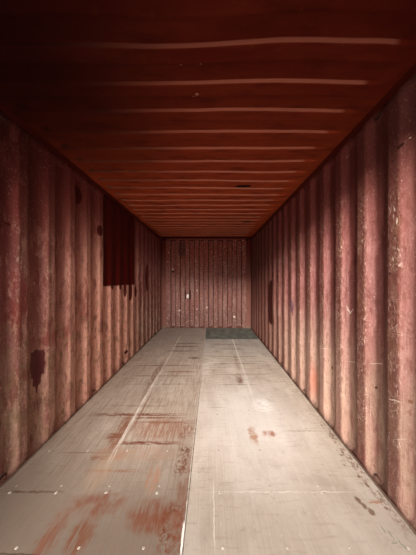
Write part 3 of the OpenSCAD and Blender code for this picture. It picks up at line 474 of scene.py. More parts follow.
# %% A finish being mixed
class Finish:
    """A material in the making: the coat so far, its roughness and its relief."""

    def __init__(self, name, base, rough, metallic=0.0, shine=0.3):
        self.material = bpy.data.materials.new(name)
        self.material.use_nodes = True
        self.tree = self.material.node_tree
        self.shader = self.tree.nodes["Principled BSDF"]
        self.shader.inputs["Metallic"].default_value = metallic
        if not metallic:
            self.shader.inputs["Specular IOR Level"].default_value = shine
        self.place = add(self.tree, "ShaderNodeTexCoord").outputs["Object"]
        self.axes = add(self.tree, "ShaderNodeSeparateXYZ", {0: self.place}).outputs
        self.coat = tone(base)
        self.rough = rough
        self.relief = None
        self.tear = None

    def grains(self, millimetres, low, high, detail=2.0, seed=1.0, roughness=0.55, slant=0.0):
        """Noise mask with grains of a real size. Slant tilts them along a side wall."""
        place = self.place
        if slant:
            tilted = add(self.tree, MATH, {0: self.axes["Y"], 1: slant, 2: self.axes["Z"]},
                         operation="MULTIPLY_ADD")
            place = add(self.tree, "ShaderNodeCombineXYZ", {
                "X": self.axes["X"], "Y": self.axes["Y"], "Z": tilted})
        return add(self.tree, "ShaderNodeGroup", {
            "Position": place, "Millimetres": millimetres, "Low": low, "High": high,
            "Detail": detail, "Seed": seed, "Roughness": roughness}, node_tree=GRAINS).outputs[0]

    def stain(self, centre, half, ragged=0.02, edge=0.12, square=0.0, lean=0.0):
        """Mask of one stain. All stains of a finish are torn by the same noise."""
        if self.tear is None:
            noise = add(self.tree, NOISE, {"Vector": self.place, "Scale": 28.0, "Detail": 3.0})
            middle = (0.5, 0.5, 0.5)
            self.tear = add(self.tree, VECTOR_MATH, {0: noise.outputs["Color"], 1: middle},
                            operation="SUBTRACT").outputs[0]
        return add(self.tree, "ShaderNodeGroup", {
            "Position": self.place, "Tear": self.tear, "Centre": centre, "Half Size": half,
            "Ragged": ragged, "Edge": edge, "Square": square, "Lean": lean}, node_tree=STAIN).outputs[0]

    def fade(self, axis, start, end):
        """Mask that goes from 0 to 1 between two places along an axis.

        The axis is X, Y, Z, height for the height over the floor, or a mark of the sheet: wave or lean.
        """
        if axis in ("wave", "lean"):
            value = add(self.tree, "ShaderNodeAttribute", attribute_name=axis).outputs["Fac"]
        elif axis == "height":
            value, start, end = self.axes["Z"], FLOOR_TOP + start, FLOOR_TOP + end
        else:
            value = self.axes[axis]
        return add(self.tree, RANGE, {"Value": value, "From Min": start, "From Max": end},
                   interpolation_type="SMOOTHSTEP").outputs[0]

    def overlap(self, *masks):
        """Where all the masks meet. A plain number weakens the result."""
        total = masks[0]
        for mask in masks[1:]:
            total = add(self.tree, MATH, {0: total, 1: mask}, operation="MULTIPLY").outputs[0]
        return total

    def lay(self, colour, *masks):
        """Lays a colour over the coat where all the masks meet. A plain number is its strength."""
        over = tone(colour)
        self.coat = add(self.tree, MIX, {"Factor": self.overlap(*masks), "A": self.coat, "B": over},
                        data_type="RGBA").outputs["Result"]

    def tint(self, colour, strength, *spans):
        """Lays a colour over one region. A span is an axis, where the colour starts and where it is full."""
        self.lay(colour, *[self.fade(*span) for span in spans], strength)

    def roughen(self, value, *masks):
        """Moves the roughness to a value where all the masks meet."""
        self.rough = add(self.tree, MIX, {"Factor": self.overlap(*masks), "A": self.rough,
                                          "B": value}).outputs["Result"]

    def lift(self, millimetres, *masks):
        """Raises the surface by a few tenths of a millimetre where all the masks meet."""
        step = self.overlap(*masks, millimetres * MM)
        if self.relief is not None:
            step = add(self.tree, MATH, {0: self.relief, 1: step}, operation="ADD").outputs[0]
        self.relief = step

    def done(self):
        """Links the coat, the roughness and the relief to the shader."""
        for value, socket in ((self.coat, "Base Color"), (self.rough, "Roughness")):
            if isinstance(value, bpy.types.NodeSocket):
                self.tree.links.new(value, self.shader.inputs[socket])
            else:
                self.shader.inputs[socket].default_value = value
        if self.relief is not None:
            bump = add(self.tree, "ShaderNodeBump", {"Height": self.relief, "Distance": 1.0})
            self.tree.links.new(bump.outputs[0], self.shader.inputs["Normal"])
        return self.material


# %% [markdown]
# ## Paint on the side walls, inside
#
# Red oxide alkyd, rolled on over a dark primer. It chalks to a dull rose, which makes it pale and
# without gloss. Cargo rubs only the inner flats: there it is scraped down to brown, pitted, and chipped
# white along the edges. Below the hip, loads left fine slanting scratches. Dust turns the lowest metre
# tan. Light and shade are painted in as well: the paint is darker towards the roof and in the troughs,
# and each slope is coloured by whether it faces the door.

# %% Side wall paint
WALL_X = 1.195
PRIMER = "#440804"
TOUCH_UP = "#74231f"
RUST_ORANGE = "#b8573c"
CHIP_DARK = "#3c1712"
SCRATCH_PALE = "#e0cdbb"
# Slant, grain size in millimetres and share of white of each family of scratches
SCRATCHES = ((0.75, (60, 150, 7), 0.6), (-0.45, (60, 220, 6), 0.5), (0.12, (60, 260, 5), 0.5))


def wall_finish(name, seed, side, rub, scratch, lit_slope, shade_slope):
    """Chalky rose oxide paint with rubbed flats, dust and scratches, for one side wall, with painted shade
    towards the roof and in the troughs.

    rub is how far the flats are scraped to brown, and scratch how white the scratches are. lit_slope and
    shade_slope are painted light and shade: the colour and strength laid on the slopes that face the door
    and on those that face away from it.
    """
    paint = Finish(name, "#a26a64", 0.8)
    flat = paint.fade("wave", 0.22, 0.04)
    trough = paint.fade("wave", 0.8, 1.0)
    ridge = paint.fade("wave", 0.4, 0.16)
    high = paint.fade("height", 1.2, 2.2)
    low = paint.fade("height", 1.1, 0.3)
    hip = paint.fade("height", 1.25, 0.9)
    worked = paint.overlap(paint.fade("height", 2.1, 1.6), paint.fade("height", 0.05, 0.4))
    patchy = paint.grains((240, 130, 170), 0.38, 0.58, 2.0, seed + 12)
    paint.lay("#bb8d86", paint.grains((400, 120, 500), 0.4, 0.7, 3.0, seed))
    paint.lay("#8a4a46", paint.grains((60, 40, 700), 0.48, 0.75, 3.0, seed + 2), 0.7)
    paint.lay("#8f5a50", paint.grains((60, 45, 90), 0.5, 0.7, 4.0, seed + 14, 0.7), 0.5)
    # Painted light and shade: one colour on the slopes that face the door, another on those that face away.
    paint.lay(lit_slope[0], paint.fade("lean", 0.0, side * 0.6), lit_slope[1])
    paint.lay(shade_slope[0], paint.fade("lean", 0.0, side * -0.6), shade_slope[1])
    slopes = paint.overlap(paint.fade("wave", 0.05, 0.25), paint.fade("wave", 0.98, 0.8))
    paint.lay("#74423d", slopes, paint.grains((90, 60, 150), 0.48, 0.62, 5.0, seed + 23, 0.75), 0.5)
    paint.lay("#d3aca0", slopes, paint.grains((26, 20, 44), 0.58, 0.68, 4.0, seed + 24, 0.75), 0.45)
    paint.lay("#7f4a43", paint.grains((34, 26, 70), 0.5, 0.64, 4.0, seed + 20, 0.7), 0.5)
    # Darker deep red towards the roof: painted shade under the door header.
    paint.lay("#6d2622", high, 0.8)
    # Darker in the troughs of the corrugations: painted shade.
    paint.lay("#713430", trough, 0.6)
    paint.lay("#b29780", low, paint.grains((120, 70, 220), 0.25, 0.6, 3.0, seed + 4), 0.75)
    paint.lay("#c7a48e", low, paint.grains((22, 18, 120), 0.56, 0.68, 3.0, seed + 21, 0.65), 0.4)
    paint.lay("#6c3430", flat, paint.grains((70, 40, 120), 0.25, 0.5, 4.0, seed + 1, 0.7), rub)
    paint.lay("#9a7563", flat, paint.grains((28, 22, 34), 0.48, 0.64, 3.0, seed + 9, 0.7), worked, scratch)
    paint.lay("#7a5a3c", flat, paint.grains((60, 40, 110), 0.5, 0.64, 3.0, seed + 16, 0.6), worked, 0.5)
    chips = paint.overlap(flat, paint.grains((20, 18, 26), 0.6, 0.66, 3.0, seed + 3, 0.65))
    paint.lay(CHIP_DARK, chips, rub)
    edge_chips = paint.overlap(ridge, paint.grains((12, 12, 30), 0.58, 0.66, 3.0, seed + 5), worked, patchy)
    paint.lay("#dcc0ae", edge_chips, 0.8)
    for slant, size, share in SCRATCHES:
        lines = paint.grains(size, 0.65, 0.71, 2.0, seed + 6, slant=slant)
        paint.lay(SCRATCH_PALE, lines, hip, patchy, share * scratch)
        paint.lay(SCRATCH_PALE, lines, flat, worked, patchy, share * scratch)
    torn_flakes = paint.grains((14, 16, 34), 0.62, 0.66, 4.0, seed + 18, 0.7)
    paint.lay(SCRATCH_PALE, flat, torn_flakes, worked, patchy, scratch)
    flecks = paint.overlap(patchy, paint.grains((12, 12, 14), 0.67, 0.71, 2.0, seed + 7))
    paint.lay(SCRATCH_PALE, flecks, scratch)
    pits = paint.grains((30, 26, 36), 0.71, 0.75, 3.0, seed + 8)
    paint.lay(CHIP_DARK, pits, 0.8)
    paint.lift(-0.5, chips)
    paint.lift(0.5, paint.grains((7, 7, 7), 0.3, 0.7, 1.0, seed), flat)
    paint.lift(0.15, paint.grains((5, 5, 9), 0.3, 0.7, 1.0, seed + 4))
    return paint


def wall_dirt(paint, seed):
    """The last coat on a side wall: blotches, runs and fine grime that break up the colours below."""
    paint.lay("#64392f", paint.grains((40, 34, 64), 0.52, 0.64, 5.0, seed + 31, 0.75), 0.45)
    paint.lay("#5a2f29", paint.grains((14, 11, 300), 0.56, 0.7, 3.0, seed + 32, 0.6), 0.45)
    paint.lay("#4d2c26", paint.grains((9, 8, 14), 0.52, 0.68, 4.0, seed + 33, 0.75), 0.35)
    paint.lay("#d9b8a4", paint.grains((10, 9, 18), 0.6, 0.7, 4.0, seed + 34, 0.7), 0.3)


def wall_mark(paint, side, y, height, half_y, half_height, colour=PRIMER, strength=0.95, **shape):
    """Lays one mark on a side wall, at a place along it and a height over the floor."""
    mask = paint.stain((side * WALL_X, y, FLOOR_TOP + height), (ANYWHERE, half_y, half_height), **shape)
    paint.lay(colour, mask, strength)


# %% [markdown]
# The left wall has a repair in bare dark primer, brushed on as a rectangle that reaches up to the rail,
# with runs of it below and dabs of it further off. Nearer the door the wall was touched up in a fresher
# red, with soft edges. Painted shade darkens it towards the door post and high up near the door, and
# painted light makes it paler in the middle stretch below the rail.

# %% Marks on the left wall
LEFT, RIGHT = -1, 1
# Its slopes take painted light and shade that evens out the relief: darker where they face the door.
left_paint = wall_finish("worn_oxide_paint_painted_light_and_shade_left_wall", 1.0, LEFT, rub=0.35, scratch=0.5,
                         lit_slope=("#7c4541", 0.6), shade_slope=("#b57f72", 0.65))
# Painted shade near the door and high up near it, and painted light in the middle stretch below the rail.
left_paint.tint("#4e2723", 0.6, ("Y", -1.0, -2.3))
left_paint.tint("#e0a48e", 0.78, ("Y", -1.4, -0.4), ("Y", 1.4, 0.4), ("height", 2.2, 1.2))
left_paint.tint("#5e1812", 0.65, ("Y", 0.4, -1.6), ("height", 1.2, 1.9))
left_paint.tint("#2a0907", 0.8, ("Y", -0.7, -1.9), ("height", 1.2, 2.1))
brushed = left_paint.grains((60, 60, 260), 0.3, 0.55, 3.0, 5.0)
# Place along the box, height, half length, half height
TOUCHED_UP = ((-1.05, 0.80, 0.36, 0.085), (-1.02, 1.52, 0.09, 0.26), (-1.42, 1.15, 0.10, 0.30),
              (-0.62, 1.05, 0.10, 0.30), (-1.30, 0.62, 0.20, 0.10), (-0.25, 0.75, 0.10, 0.22))
for y, height, half_y, half_height in TOUCHED_UP:
    patch = left_paint.stain((-WALL_X, y, FLOOR_TOP + height), (ANYWHERE, half_y, half_height), 0.09, 0.6)
    left_paint.lay(TOUCH_UP, patch, brushed, 0.65)
dusty = left_paint.stain((-WALL_X, -1.4, FLOOR_TOP + 0.45), (ANYWHERE, 0.5, 0.42), 0.2, 0.7)
left_paint.lay("#7d6a50", dusty, left_paint.grains((60, 90, 120), 0.4, 0.62, 3.0, 15.0), 0.6)
left_paint.lay("#6a302d", left_paint.grains((110, 70, 190), 0.54, 0.6, 5.0, 18.0, 0.7), 0.6)
left_paint.lay("#c39683", left_paint.grains((130, 80, 210), 0.54, 0.59, 5.0, 17.0, 0.75),
               left_paint.fade("height", 1.9, 1.3), 0.5)
left_paint.lay("#7c6548", left_paint.grains((80, 60, 120), 0.55, 0.6, 5.0, 19.0, 0.75),
               left_paint.fade("height", 1.3, 0.8), 0.6)
wall_dirt(left_paint, 1.0)
wall_mark(left_paint, LEFT, 0.335, 1.89, 0.555, 0.70, ragged=0.012, edge=0.03, square=1.0, strength=1.0)
PRIMER_RUNS = ((0.49, 1.14, 0.028, 0.13), (0.74, 1.10, 0.045, 0.17), (0.28, 1.185, 0.045, 0.05),
               (0.05, 1.185, 0.08, 0.035), (1.00, 1.08, 0.045, 0.10), (1.63, 1.33, 0.05, 0.30),
               (-0.722, 2.14, 0.09, 0.10), (-0.305, 1.866, 0.05, 0.07))
for y, height, half_y, half_height in PRIMER_RUNS:
    wall_mark(left_paint, LEFT, y, height, half_y, half_height, ragged=0.015, edge=0.12)
# A brown dab and its drips: half length, drop below the dab, half height
for half_y, drop, half_height in ((0.062, 0.0, 0.11), (0.04, 0.08, 0.10), (0.012, 0.15, 0.08)):
    wall_mark(left_paint, LEFT, -1.229, 0.64 - drop, half_y, half_height, "#522524", ragged=0.03, square=0.7)
wall_mark(left_paint, LEFT, -1.485, 1.66, 0.025, 0.008, ragged=0.01, lean=0.5)
wall_mark(left_paint, LEFT, 0.53, 0.16, 0.05, 0.03, CHIP_DARK, ragged=0.02)
PAINT_LEFT = left_paint.done()

# %% [markdown]
# The right wall gets the light, so its marks are lighter: two touched-up places, orange rust low down,
# a grey dent, and the scratches and small chips that a load left as it went in.

# %% Marks on the right wall
# Its slopes take painted light and shade that deepens the relief: pale where they face the door, dark where
# they face away.
right_paint = wall_finish("worn_oxide_paint_painted_light_and_shade_right_wall", 11.0, RIGHT, rub=0.9, scratch=0.6,
                          lit_slope=("#a3736e", 0.5), shade_slope=("#5e3436", 0.6))
# Painted shade further in and high up near the door, and painted light low down in the middle stretch. Near
# the door the paint is also browner, and dustier low down.
right_paint.tint("#57302a", 0.8, ("Y", 0.0, 1.7))
right_paint.tint("#755a4c", 0.25, ("Y", -1.1, -2.0))
right_paint.tint("#66554a", 0.45, ("Y", -1.1, -2.0), ("height", 1.0, 0.4))
right_paint.tint("#3c1c1a", 0.4, ("Y", -1.0, -2.0), ("height", 1.5, 2.1))
right_paint.tint("#dbbaa6", 0.4, ("Y", 0.6, -0.3), ("Y", -1.5, -0.9), ("height", 1.2, 0.4))
wall_dirt(right_paint, 11.0)
wall_mark(right_paint, RIGHT, 1.01, 0.88, 0.14, 0.42, "#300e0b", ragged=0.05, square=0.3)
for y, height in ((0.59, 1.32), (0.84, 1.37)):
    wall_mark(right_paint, RIGHT, y, height, 0.04, 0.06, strength=0.8)
wall_mark(right_paint, RIGHT, -0.64, 0.24, 0.10, 0.26, RUST_ORANGE, 0.5, ragged=0.08, edge=0.9)
wall_mark(right_paint, RIGHT, -0.02, 0.95, 0.05, 0.09, "#6a4a55", 0.8, ragged=0.03)
for lean in (0.9, -0.9, -1.6):
    wall_mark(right_paint, RIGHT, -1.22, 1.03, 0.028, 0.006, SCRATCH_PALE, 0.8, ragged=0.006, lean=lean)
# Place along the box, height, half length, lean
LONG_SCRATCHES = ((-1.25, 0.66, 0.06, 0.3), (-0.86, 0.64, 0.07, 0.3), (-0.80, 0.55, 0.05, 0.25),
                  (-1.50, 0.74, 0.05, 0.35), (-1.68, 0.60, 0.05, 0.3))
for y, height, half_y, lean in LONG_SCRATCHES:
    wall_mark(right_paint, RIGHT, y, height, half_y, 0.004, SCRATCH_PALE, 0.6,
              ragged=0.02, lean=lean, edge=0.5)
# Place along the box, height, half length, half height, colour
SMALL_CHIPS = ((-1.69, 1.69, 0.004, 0.012, SCRATCH_PALE), (-1.70, 1.62, 0.003, 0.02, SCRATCH_PALE),
               (-1.72, 2.03, 0.014, 0.010, "#2a100e"), (-1.75, 2.05, 0.005, 0.003, SCRATCH_PALE),
               (-1.49, 0.58, 0.010, 0.008, CHIP_DARK), (-1.75, 0.63, 0.010, 0.010, "#6d4630"),
               (-1.80, 1.60, 0.02, 0.03, "#5a2220"), (-0.95, 0.50, 0.012, 0.02, CHIP_DARK))
for y, height, half_y, half_height, colour in SMALL_CHIPS:
    wall_mark(right_paint, RIGHT, y, height, half_y, half_height, colour, 0.8, ragged=0.02, lean=0.3)
PAINT_RIGHT = right_paint.done()


# %% [markdown]
# ## Paint on the front wall and under the roof
#
# The front wall takes knocks from pallets at hip height, where bare steel shows. Its corrugations are
# steep, and each fold is painted as a dark line of shade; towards the roof the wall is painted darker and
# redder, as shade. Under the roof the paint is the deepest, with rust where water stood on the sheet
# above, a painted highlight on the door-facing slope of each rib, painted shade near the door and in the
# near left corner, and painted light further in.

# %% Front wall paint
FRONT_Y = 2.976
# Place across the box, height, half size
PALE_CHIPS = ((-0.893, 1.56, 0.024), (-0.245, 1.0, 0.022), (0.018, 0.547, 0.024), (-0.26, 1.26, 0.014),
              (0.74, 0.30, 0.026), (-0.7, 0.47, 0.02), (-0.245, 0.5, 0.018))


def front_mark(paint, x, height, half_x, half_height, colour, strength=0.9, **shape):
    """Lays one mark on the front wall, at a place across it and a height over the floor."""
    mask = paint.stain((x, FRONT_Y, FLOOR_TOP + height), (half_x, ANYWHERE, half_height), **shape)
    paint.lay(colour, mask, strength)


def front_finish():
    """The front wall's paint: dull rose brown, darker at the foot, with painted shade that darkens it and
    makes it redder towards the roof and in the folds.
    """
    paint = Finish("worn_oxide_paint_painted_shade_front_wall", "#966860", 0.75)
    paint.lay("#a07c72", paint.grains((110, 300, 500), 0.4, 0.65, 3.0, 3.0))
    paint.lay("#74382f", paint.grains((50, 300, 500), 0.46, 0.7, 3.0, 5.0), 0.7)
    # Darker and redder towards the roof: painted shade.
    paint.lay("#7a3427", paint.fade("height", 1.0, 2.2), 0.85)
    paint.lay("#5f443d", paint.fade("height", 1.0, 0.1), 0.8)
    front_mark(paint, -0.65, 2.08, 0.13, 0.28, "#43201a", 0.75, ragged=0.06, edge=0.5)
    paint.lay(CHIP_DARK, paint.grains((26, 26, 34), 0.64, 0.68, 2.0, 6.0))
    paint.lay("#d2bcae", paint.grains((18, 18, 24), 0.66, 0.7, 1.0, 7.0))
    # Each steep fold painted dark: painted shade.
    folds = paint.overlap(paint.fade("wave", 0.02, 0.2), paint.fade("wave", 0.98, 0.8))
    paint.lay("#3c1a15", folds, 0.8)
    for x in (-0.555, -0.43):
        front_mark(paint, x, 0.87, 0.022, 0.16, "#17100f", 0.9, ragged=0.01)
    front_mark(paint, -0.49, 0.845, 0.034, 0.06, "#f4efe8", ragged=0.015)
    front_mark(paint, -0.89, 1.50, 0.04, 0.035, "#22120f", ragged=0.015)
    for x, height, size in PALE_CHIPS:
        front_mark(paint, x, height, size, size * 1.3, "#e6d8cd", 0.75, ragged=0.015, edge=0.4)
    return paint.done()


PAINT_FRONT = front_finish()


# %% Roof paint
ROOF_Z = 2.56
# Place across and along the box, half sizes
ROOF_SPECKS = ((0.08, -1.80, 0.006, 0.012), (0.05, -1.62, 0.012, 0.01), (-0.02, -1.80, 0.008, 0.006),
               (0.03, -1.60, 0.01, 0.006))


def roof_finish():
    """Deep oxide paint under the roof, with rust blooms and a few pale specks, and painted light and shade:
    a highlight on the door-facing folds, paler further in, and darker near the door and to the left.
    """
    paint = Finish("oxide_paint_painted_light_and_shade_roof_inside", "#5c1406", 0.8, shine=0.15)
    # Brighter and more orange further in: painted light.
    paint.lay("#c25630", paint.fade("Y", -2.3, 0.4), 0.9)
    paint.lay("#86341c", paint.grains((500, 160, 500), 0.4, 0.7, 3.0, 1.0), 0.6)
    paint.lay("#4c130a", paint.grains((260, 90, 260), 0.5, 0.7, 3.0, 2.0), 0.5)
    paint.lay("#7a3a16", paint.grains((60, 60, 60), 0.62, 0.74, 3.0, 3.0), 0.5)
    # A painted highlight on the door-facing slope of each rib, fading out to the left and paler further in.
    folds = paint.overlap(paint.fade("wave", 0.0, 0.1), paint.fade("wave", 0.98, 0.8),
                          paint.fade("lean", 0.0, -0.2), paint.fade("X", 1.03, 0.98))
    paint.lay("#ad6a55", folds, paint.fade("X", -1.1, 0.35), 0.75)
    paint.lay("#c08069", folds, paint.fade("Y", -1.6, 0.2), 0.6)
    # Painted shade in the near left corner, near the door, and over the highlights on the left.
    paint.lay("#240402", paint.fade("X", 0.3, -0.9), paint.fade("Y", -0.1, -1.9), 0.92)
    paint.lay("#3a0a04", paint.fade("Y", -1.2, -2.2), 0.25)
    paint.lay("#1c0302", folds, paint.fade("X", 0.0, -0.7), paint.fade("Y", 0.8, -0.8), 0.6)
    paint.lay("#2e0905", paint.stain((0.52, -0.27, ROOF_Z), (0.10, 0.04, ANYWHERE), 0.04))
    paint.lay("#2e0905", paint.stain((0.82, 1.35, ROOF_Z), (0.16, 0.12, ANYWHERE), 0.05, 0.5), 0.8)
    for x, y, half_x, half_y in ROOF_SPECKS:
        paint.lay("#c98f7b", paint.stain((x, y, ROOF_Z), (half_x, half_y, ANYWHERE), 0.01), 0.7)
    paint.lift(0.2, paint.grains((9, 9, 9), 0.3, 0.7, 1.0))
    return paint.done()


PAINT_ROOF = roof_finish()

# %% [markdown]
# ## Paint outside
#
# Outside, sun and salt fade the same paint. Water runs down from every joint and leaves brown streaks,
# and scrapes from neighbouring boxes go down to rust. One recipe gives the walls, the roof, the frame
# and the doors, each from its own base coat.


# %% Outside paint
def outside_coat(name, base, faded, seed, scrape=(300, 300, 6)):
    """Weathered oxide paint: chalked patches, streaks down, rust blooms and level scrapes in places.

    scrape is the grain of the scrapes, long across the face and thin up it.
    """
    paint = Finish(name, base, 0.6, shine=0.4)
    foot = paint.fade("Z", 0.8, 0.15)
    under_rail = paint.fade("Z", 1.7, 2.5)
    scraped = paint.grains((700, 900, 260), 0.5, 0.62, 2.0, seed + 5)
    paint.lay(faded, paint.grains((600, 500, 900), 0.38, 0.68, 3.0, seed))
    paint.lay("#5a2a1c", paint.grains((45, 45, 700), 0.54, 0.74, 3.0, seed + 1), 0.7)
    paint.lay("#4f2a1d", paint.grains((22, 22, 800), 0.55, 0.66, 3.0, seed + 7, 0.6), under_rail, 0.7)
    paint.lay("#5c4335", paint.grains((90, 90, 140), 0.4, 0.66, 4.0, seed + 8, 0.7), foot, 0.6)
    paint.lay("#6b3a24", paint.grains((60, 60, 80), 0.55, 0.66, 5.0, seed + 6, 0.75), foot, 0.8)
    rust = paint.grains((80, 80, 110), 0.63, 0.69, 5.0, seed + 2, 0.7)
    paint.lay("#70391d", rust)
    paint.lay("#3a1d14", rust, paint.grains((12, 12, 12), 0.45, 0.6, 1.0, seed))
    paint.lay("#b09b8e", paint.grains(scrape, 0.64, 0.7, 1.0, seed + 3), scraped, 0.6)
    paint.lay("#6d3f2c", paint.grains((180, 180, 22), 0.62, 0.68, 4.0, seed + 9, 0.7), scraped, 0.7)
    paint.roughen(0.9, rust)
    paint.lift(0.4, rust)
    paint.lift(0.12, paint.grains((7, 7, 7), 0.3, 0.7, 1.0, seed))
    return paint


PAINT_OUTSIDE = outside_coat("weathered_oxide_paint_walls", "#6a2a22", "#84463b", 21.0).done()
PAINT_ROOF_TOP = outside_coat("weathered_oxide_paint_roof", "#57291f", "#74503f", 31.0, (300, 7, 90)).done()
PAINT_DOORS = outside_coat("weathered_oxide_paint_doors", "#77302a", "#93504a", 51.0).done()


# %% [markdown]
# The frame shows on both sides. Within the hold it has the same coat as the walls and the roof: rose
# brown on the front posts, dusty on the rails at the floor, and darker deep red on the rails and the
# header above, as painted shade. A pale line along the front header's lower edge is a painted highlight.

# %% Frame paint
def frame_finish():
    """Weathered outside, and within the hold the colours of the walls and the roof, with painted shade high
    up and a painted highlight along the front header.
    """
    paint = outside_coat("weathered_oxide_paint_painted_light_and_shade_frame", "#6c2920", "#88432f", 41.0)
    inside = paint.stain((0, 0.06, 1.4), (1.205, 2.93, 1.25), ragged=0.0, edge=0.002, square=1.0)
    paint.lay("#84574d", inside)
    paint.lay("#6d4a42", inside, paint.fade("height", 1.0, 0.1), 0.75)
    # Deep red higher up: painted shade, as on the walls.
    paint.lay("#55190f", inside, paint.fade("height", 1.0, 2.2))
    paint.lay("#6b5a4c", inside, paint.fade("height", 0.1, 0.02), 0.8)
    # A pale line along the front header's lower edge: painted highlight.
    header_edge_highlight = paint.stain((0, FRONT_Y, 2.516), (1.04, 0.03, 0.006), ragged=0.004, edge=0.2, square=1.0)
    paint.lay("#a0584c", header_edge_highlight)
    return paint.done()


PAINT_FRAME = frame_finish()

# %% [markdown]
# ## Walls and roof as pressed sheet
#
# The numbers are the press tools' own: pitch, flats and depth. What a sheet spans comes from the frame,
# and the sheet stands for the plain one in the frame, which stays as its collision shape, hidden.

# %% Press the sheets
RIGHT_TURN = (0.0, 0.0, math.radians(-90))
LEFT_TURN = (0.0, 0.0, math.radians(90))
ROOF_TURN = (math.radians(90), 0.0, math.radians(90))


def press_sheet(node, along, up, inner, values):
    """Presses a sheet as large as one CAD node.

    along and up are the node's axes that the wave runs along and across. inner names the axis and the
    side, 0 for lowest and 1 for highest, of the node's box where the inner flats lie.
    """
    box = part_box(node)
    size = box[1] - box[0]
    place = (box[0] + box[1]) / 2
    inner_axis, inner_side = inner
    place[inner_axis] = box[inner_side][inner_axis]
    made = build(node + "_sheet", CORRUGATED, {
        "Length": size[along], "Height": size[up], "Place": place, "Sheet": 2 * MM, **values})
    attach(made, "root")
    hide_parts(node)
    hold.objects.link(made)
    return made


SIDE = {"Columns": 640, "Rows": 70, "Waves": 20, "Pitch": 278 * MM, "Inner Flat": 72 * MM, "Slope": 68 * MM,
        "Depth": 36 * MM, "Softness": 0.3, "Wander": 18 * MM, "Dent": 11 * MM, "Dent Size": 0.32,
        "Outside": PAINT_OUTSIDE}
FRONT = {"Columns": 300, "Rows": 60, "Waves": 8, "Pitch": 250 * MM, "Inner Flat": 106 * MM, "Slope": 20 * MM,
         "Depth": 46 * MM, "Softness": 0.3, "Gather": 0.6, "Dent": 14 * MM, "Dent Size": 0.4,
         "Outside": PAINT_OUTSIDE}
ROOF = {"Columns": 600, "Rows": 76, "Waves": 26, "Pitch": 209 * MM, "Inner Flat": 90 * MM, "Slope": 9 * MM,
        "Depth": 16 * MM, "Softness": 0.15, "Shift": 30 * MM, "Gather": 0.8, "Wander": -75 * MM,
        "Dent": 5 * MM, "Dent Size": 0.7, "End Margin": 118 * MM, "End Taper": 20 * MM,
        "Outside": PAINT_ROOF_TOP}
right_wall = press_sheet("side_wall_right", 1, 2, (0, 0), {
    **SIDE, "Turn": RIGHT_TURN, "Seed": 4.0, "Inside": PAINT_RIGHT})
left_wall = press_sheet("side_wall_left", 1, 2, (0, 1), {
    **SIDE, "Turn": LEFT_TURN, "Seed": 9.0, "Inside": PAINT_LEFT})
press_sheet("front_wall", 0, 2, (1, 0), {
    **FRONT, "Turn": (0.0, 0.0, 0.0), "Seed": 2.0, "Inside": PAINT_FRONT})
press_sheet("roof", 1, 0, (2, 0), {
    **ROOF, "Turn": ROOF_TURN, "Seed": 6.0, "Inside": PAINT_ROOF})

# %% [markdown]
# ## Single dents
#
# Noise makes the general waviness. The sharp knocks on the edges of single corrugations are pressed in
# one by one, each as a place, a size and a depth.


# %% Press in the dents
def knock(sheet, outward, dents):
    """Pushes a side wall outwards round each dent: place along the box, height, size, depth in mm."""
    count = len(sheet.data.vertices)
    points = np.empty(count * 3, np.float32)
    sheet.data.vertices.foreach_get("co", points)
    points = points.reshape(-1, 3)
    for y, height, size, depth in dents:
        away = np.hypot(points[:, 1] - y, (points[:, 2] - FLOOR_TOP - height) * 0.7)
        points[:, 0] += outward * depth * MM * np.exp(-(away / size) ** 2)
    sheet.data.vertices.foreach_set("co", points.ravel())
    sheet.data.update()


knock(right_wall, 1, ((-1.77, 1.60, 0.05, 22), (-1.52, 1.53, 0.045, 20), (-1.25, 1.47, 0.045, 18),
                      (-0.97, 1.40, 0.04, 12), (-0.05, 0.86, 0.06, 14), (-0.62, 0.70, 0.05, 10),
                      (-1.48, 1.02, 0.04, 8), (0.5, 1.2, 0.06, 12)))
knock(left_wall, -1, ((-1.50, 1.66, 0.04, 12), (-0.35, 1.2, 0.06, 12), (0.53, 0.16, 0.05, 14)))


# %% [markdown]
# ## Floor
#
# Container floors are boards of hardwood plywood, twenty-eight millimetres thick, screwed to the cross
# members. Bare and walked on, they go pale and greyish, with a fine grain along the box. Loads dragged
# across it scored the far half. The left boards got the dirt and are browner. Light and shade are
# painted into the wood as well: a pale pool of painted light on the right boards, and painted shade near
# the door and towards the front wall. Each row of boards has a finish of its own, with a few textures for
# its stains: grit that breaks a band, drag marks along the box, smudges, and a fine speckle of rust.

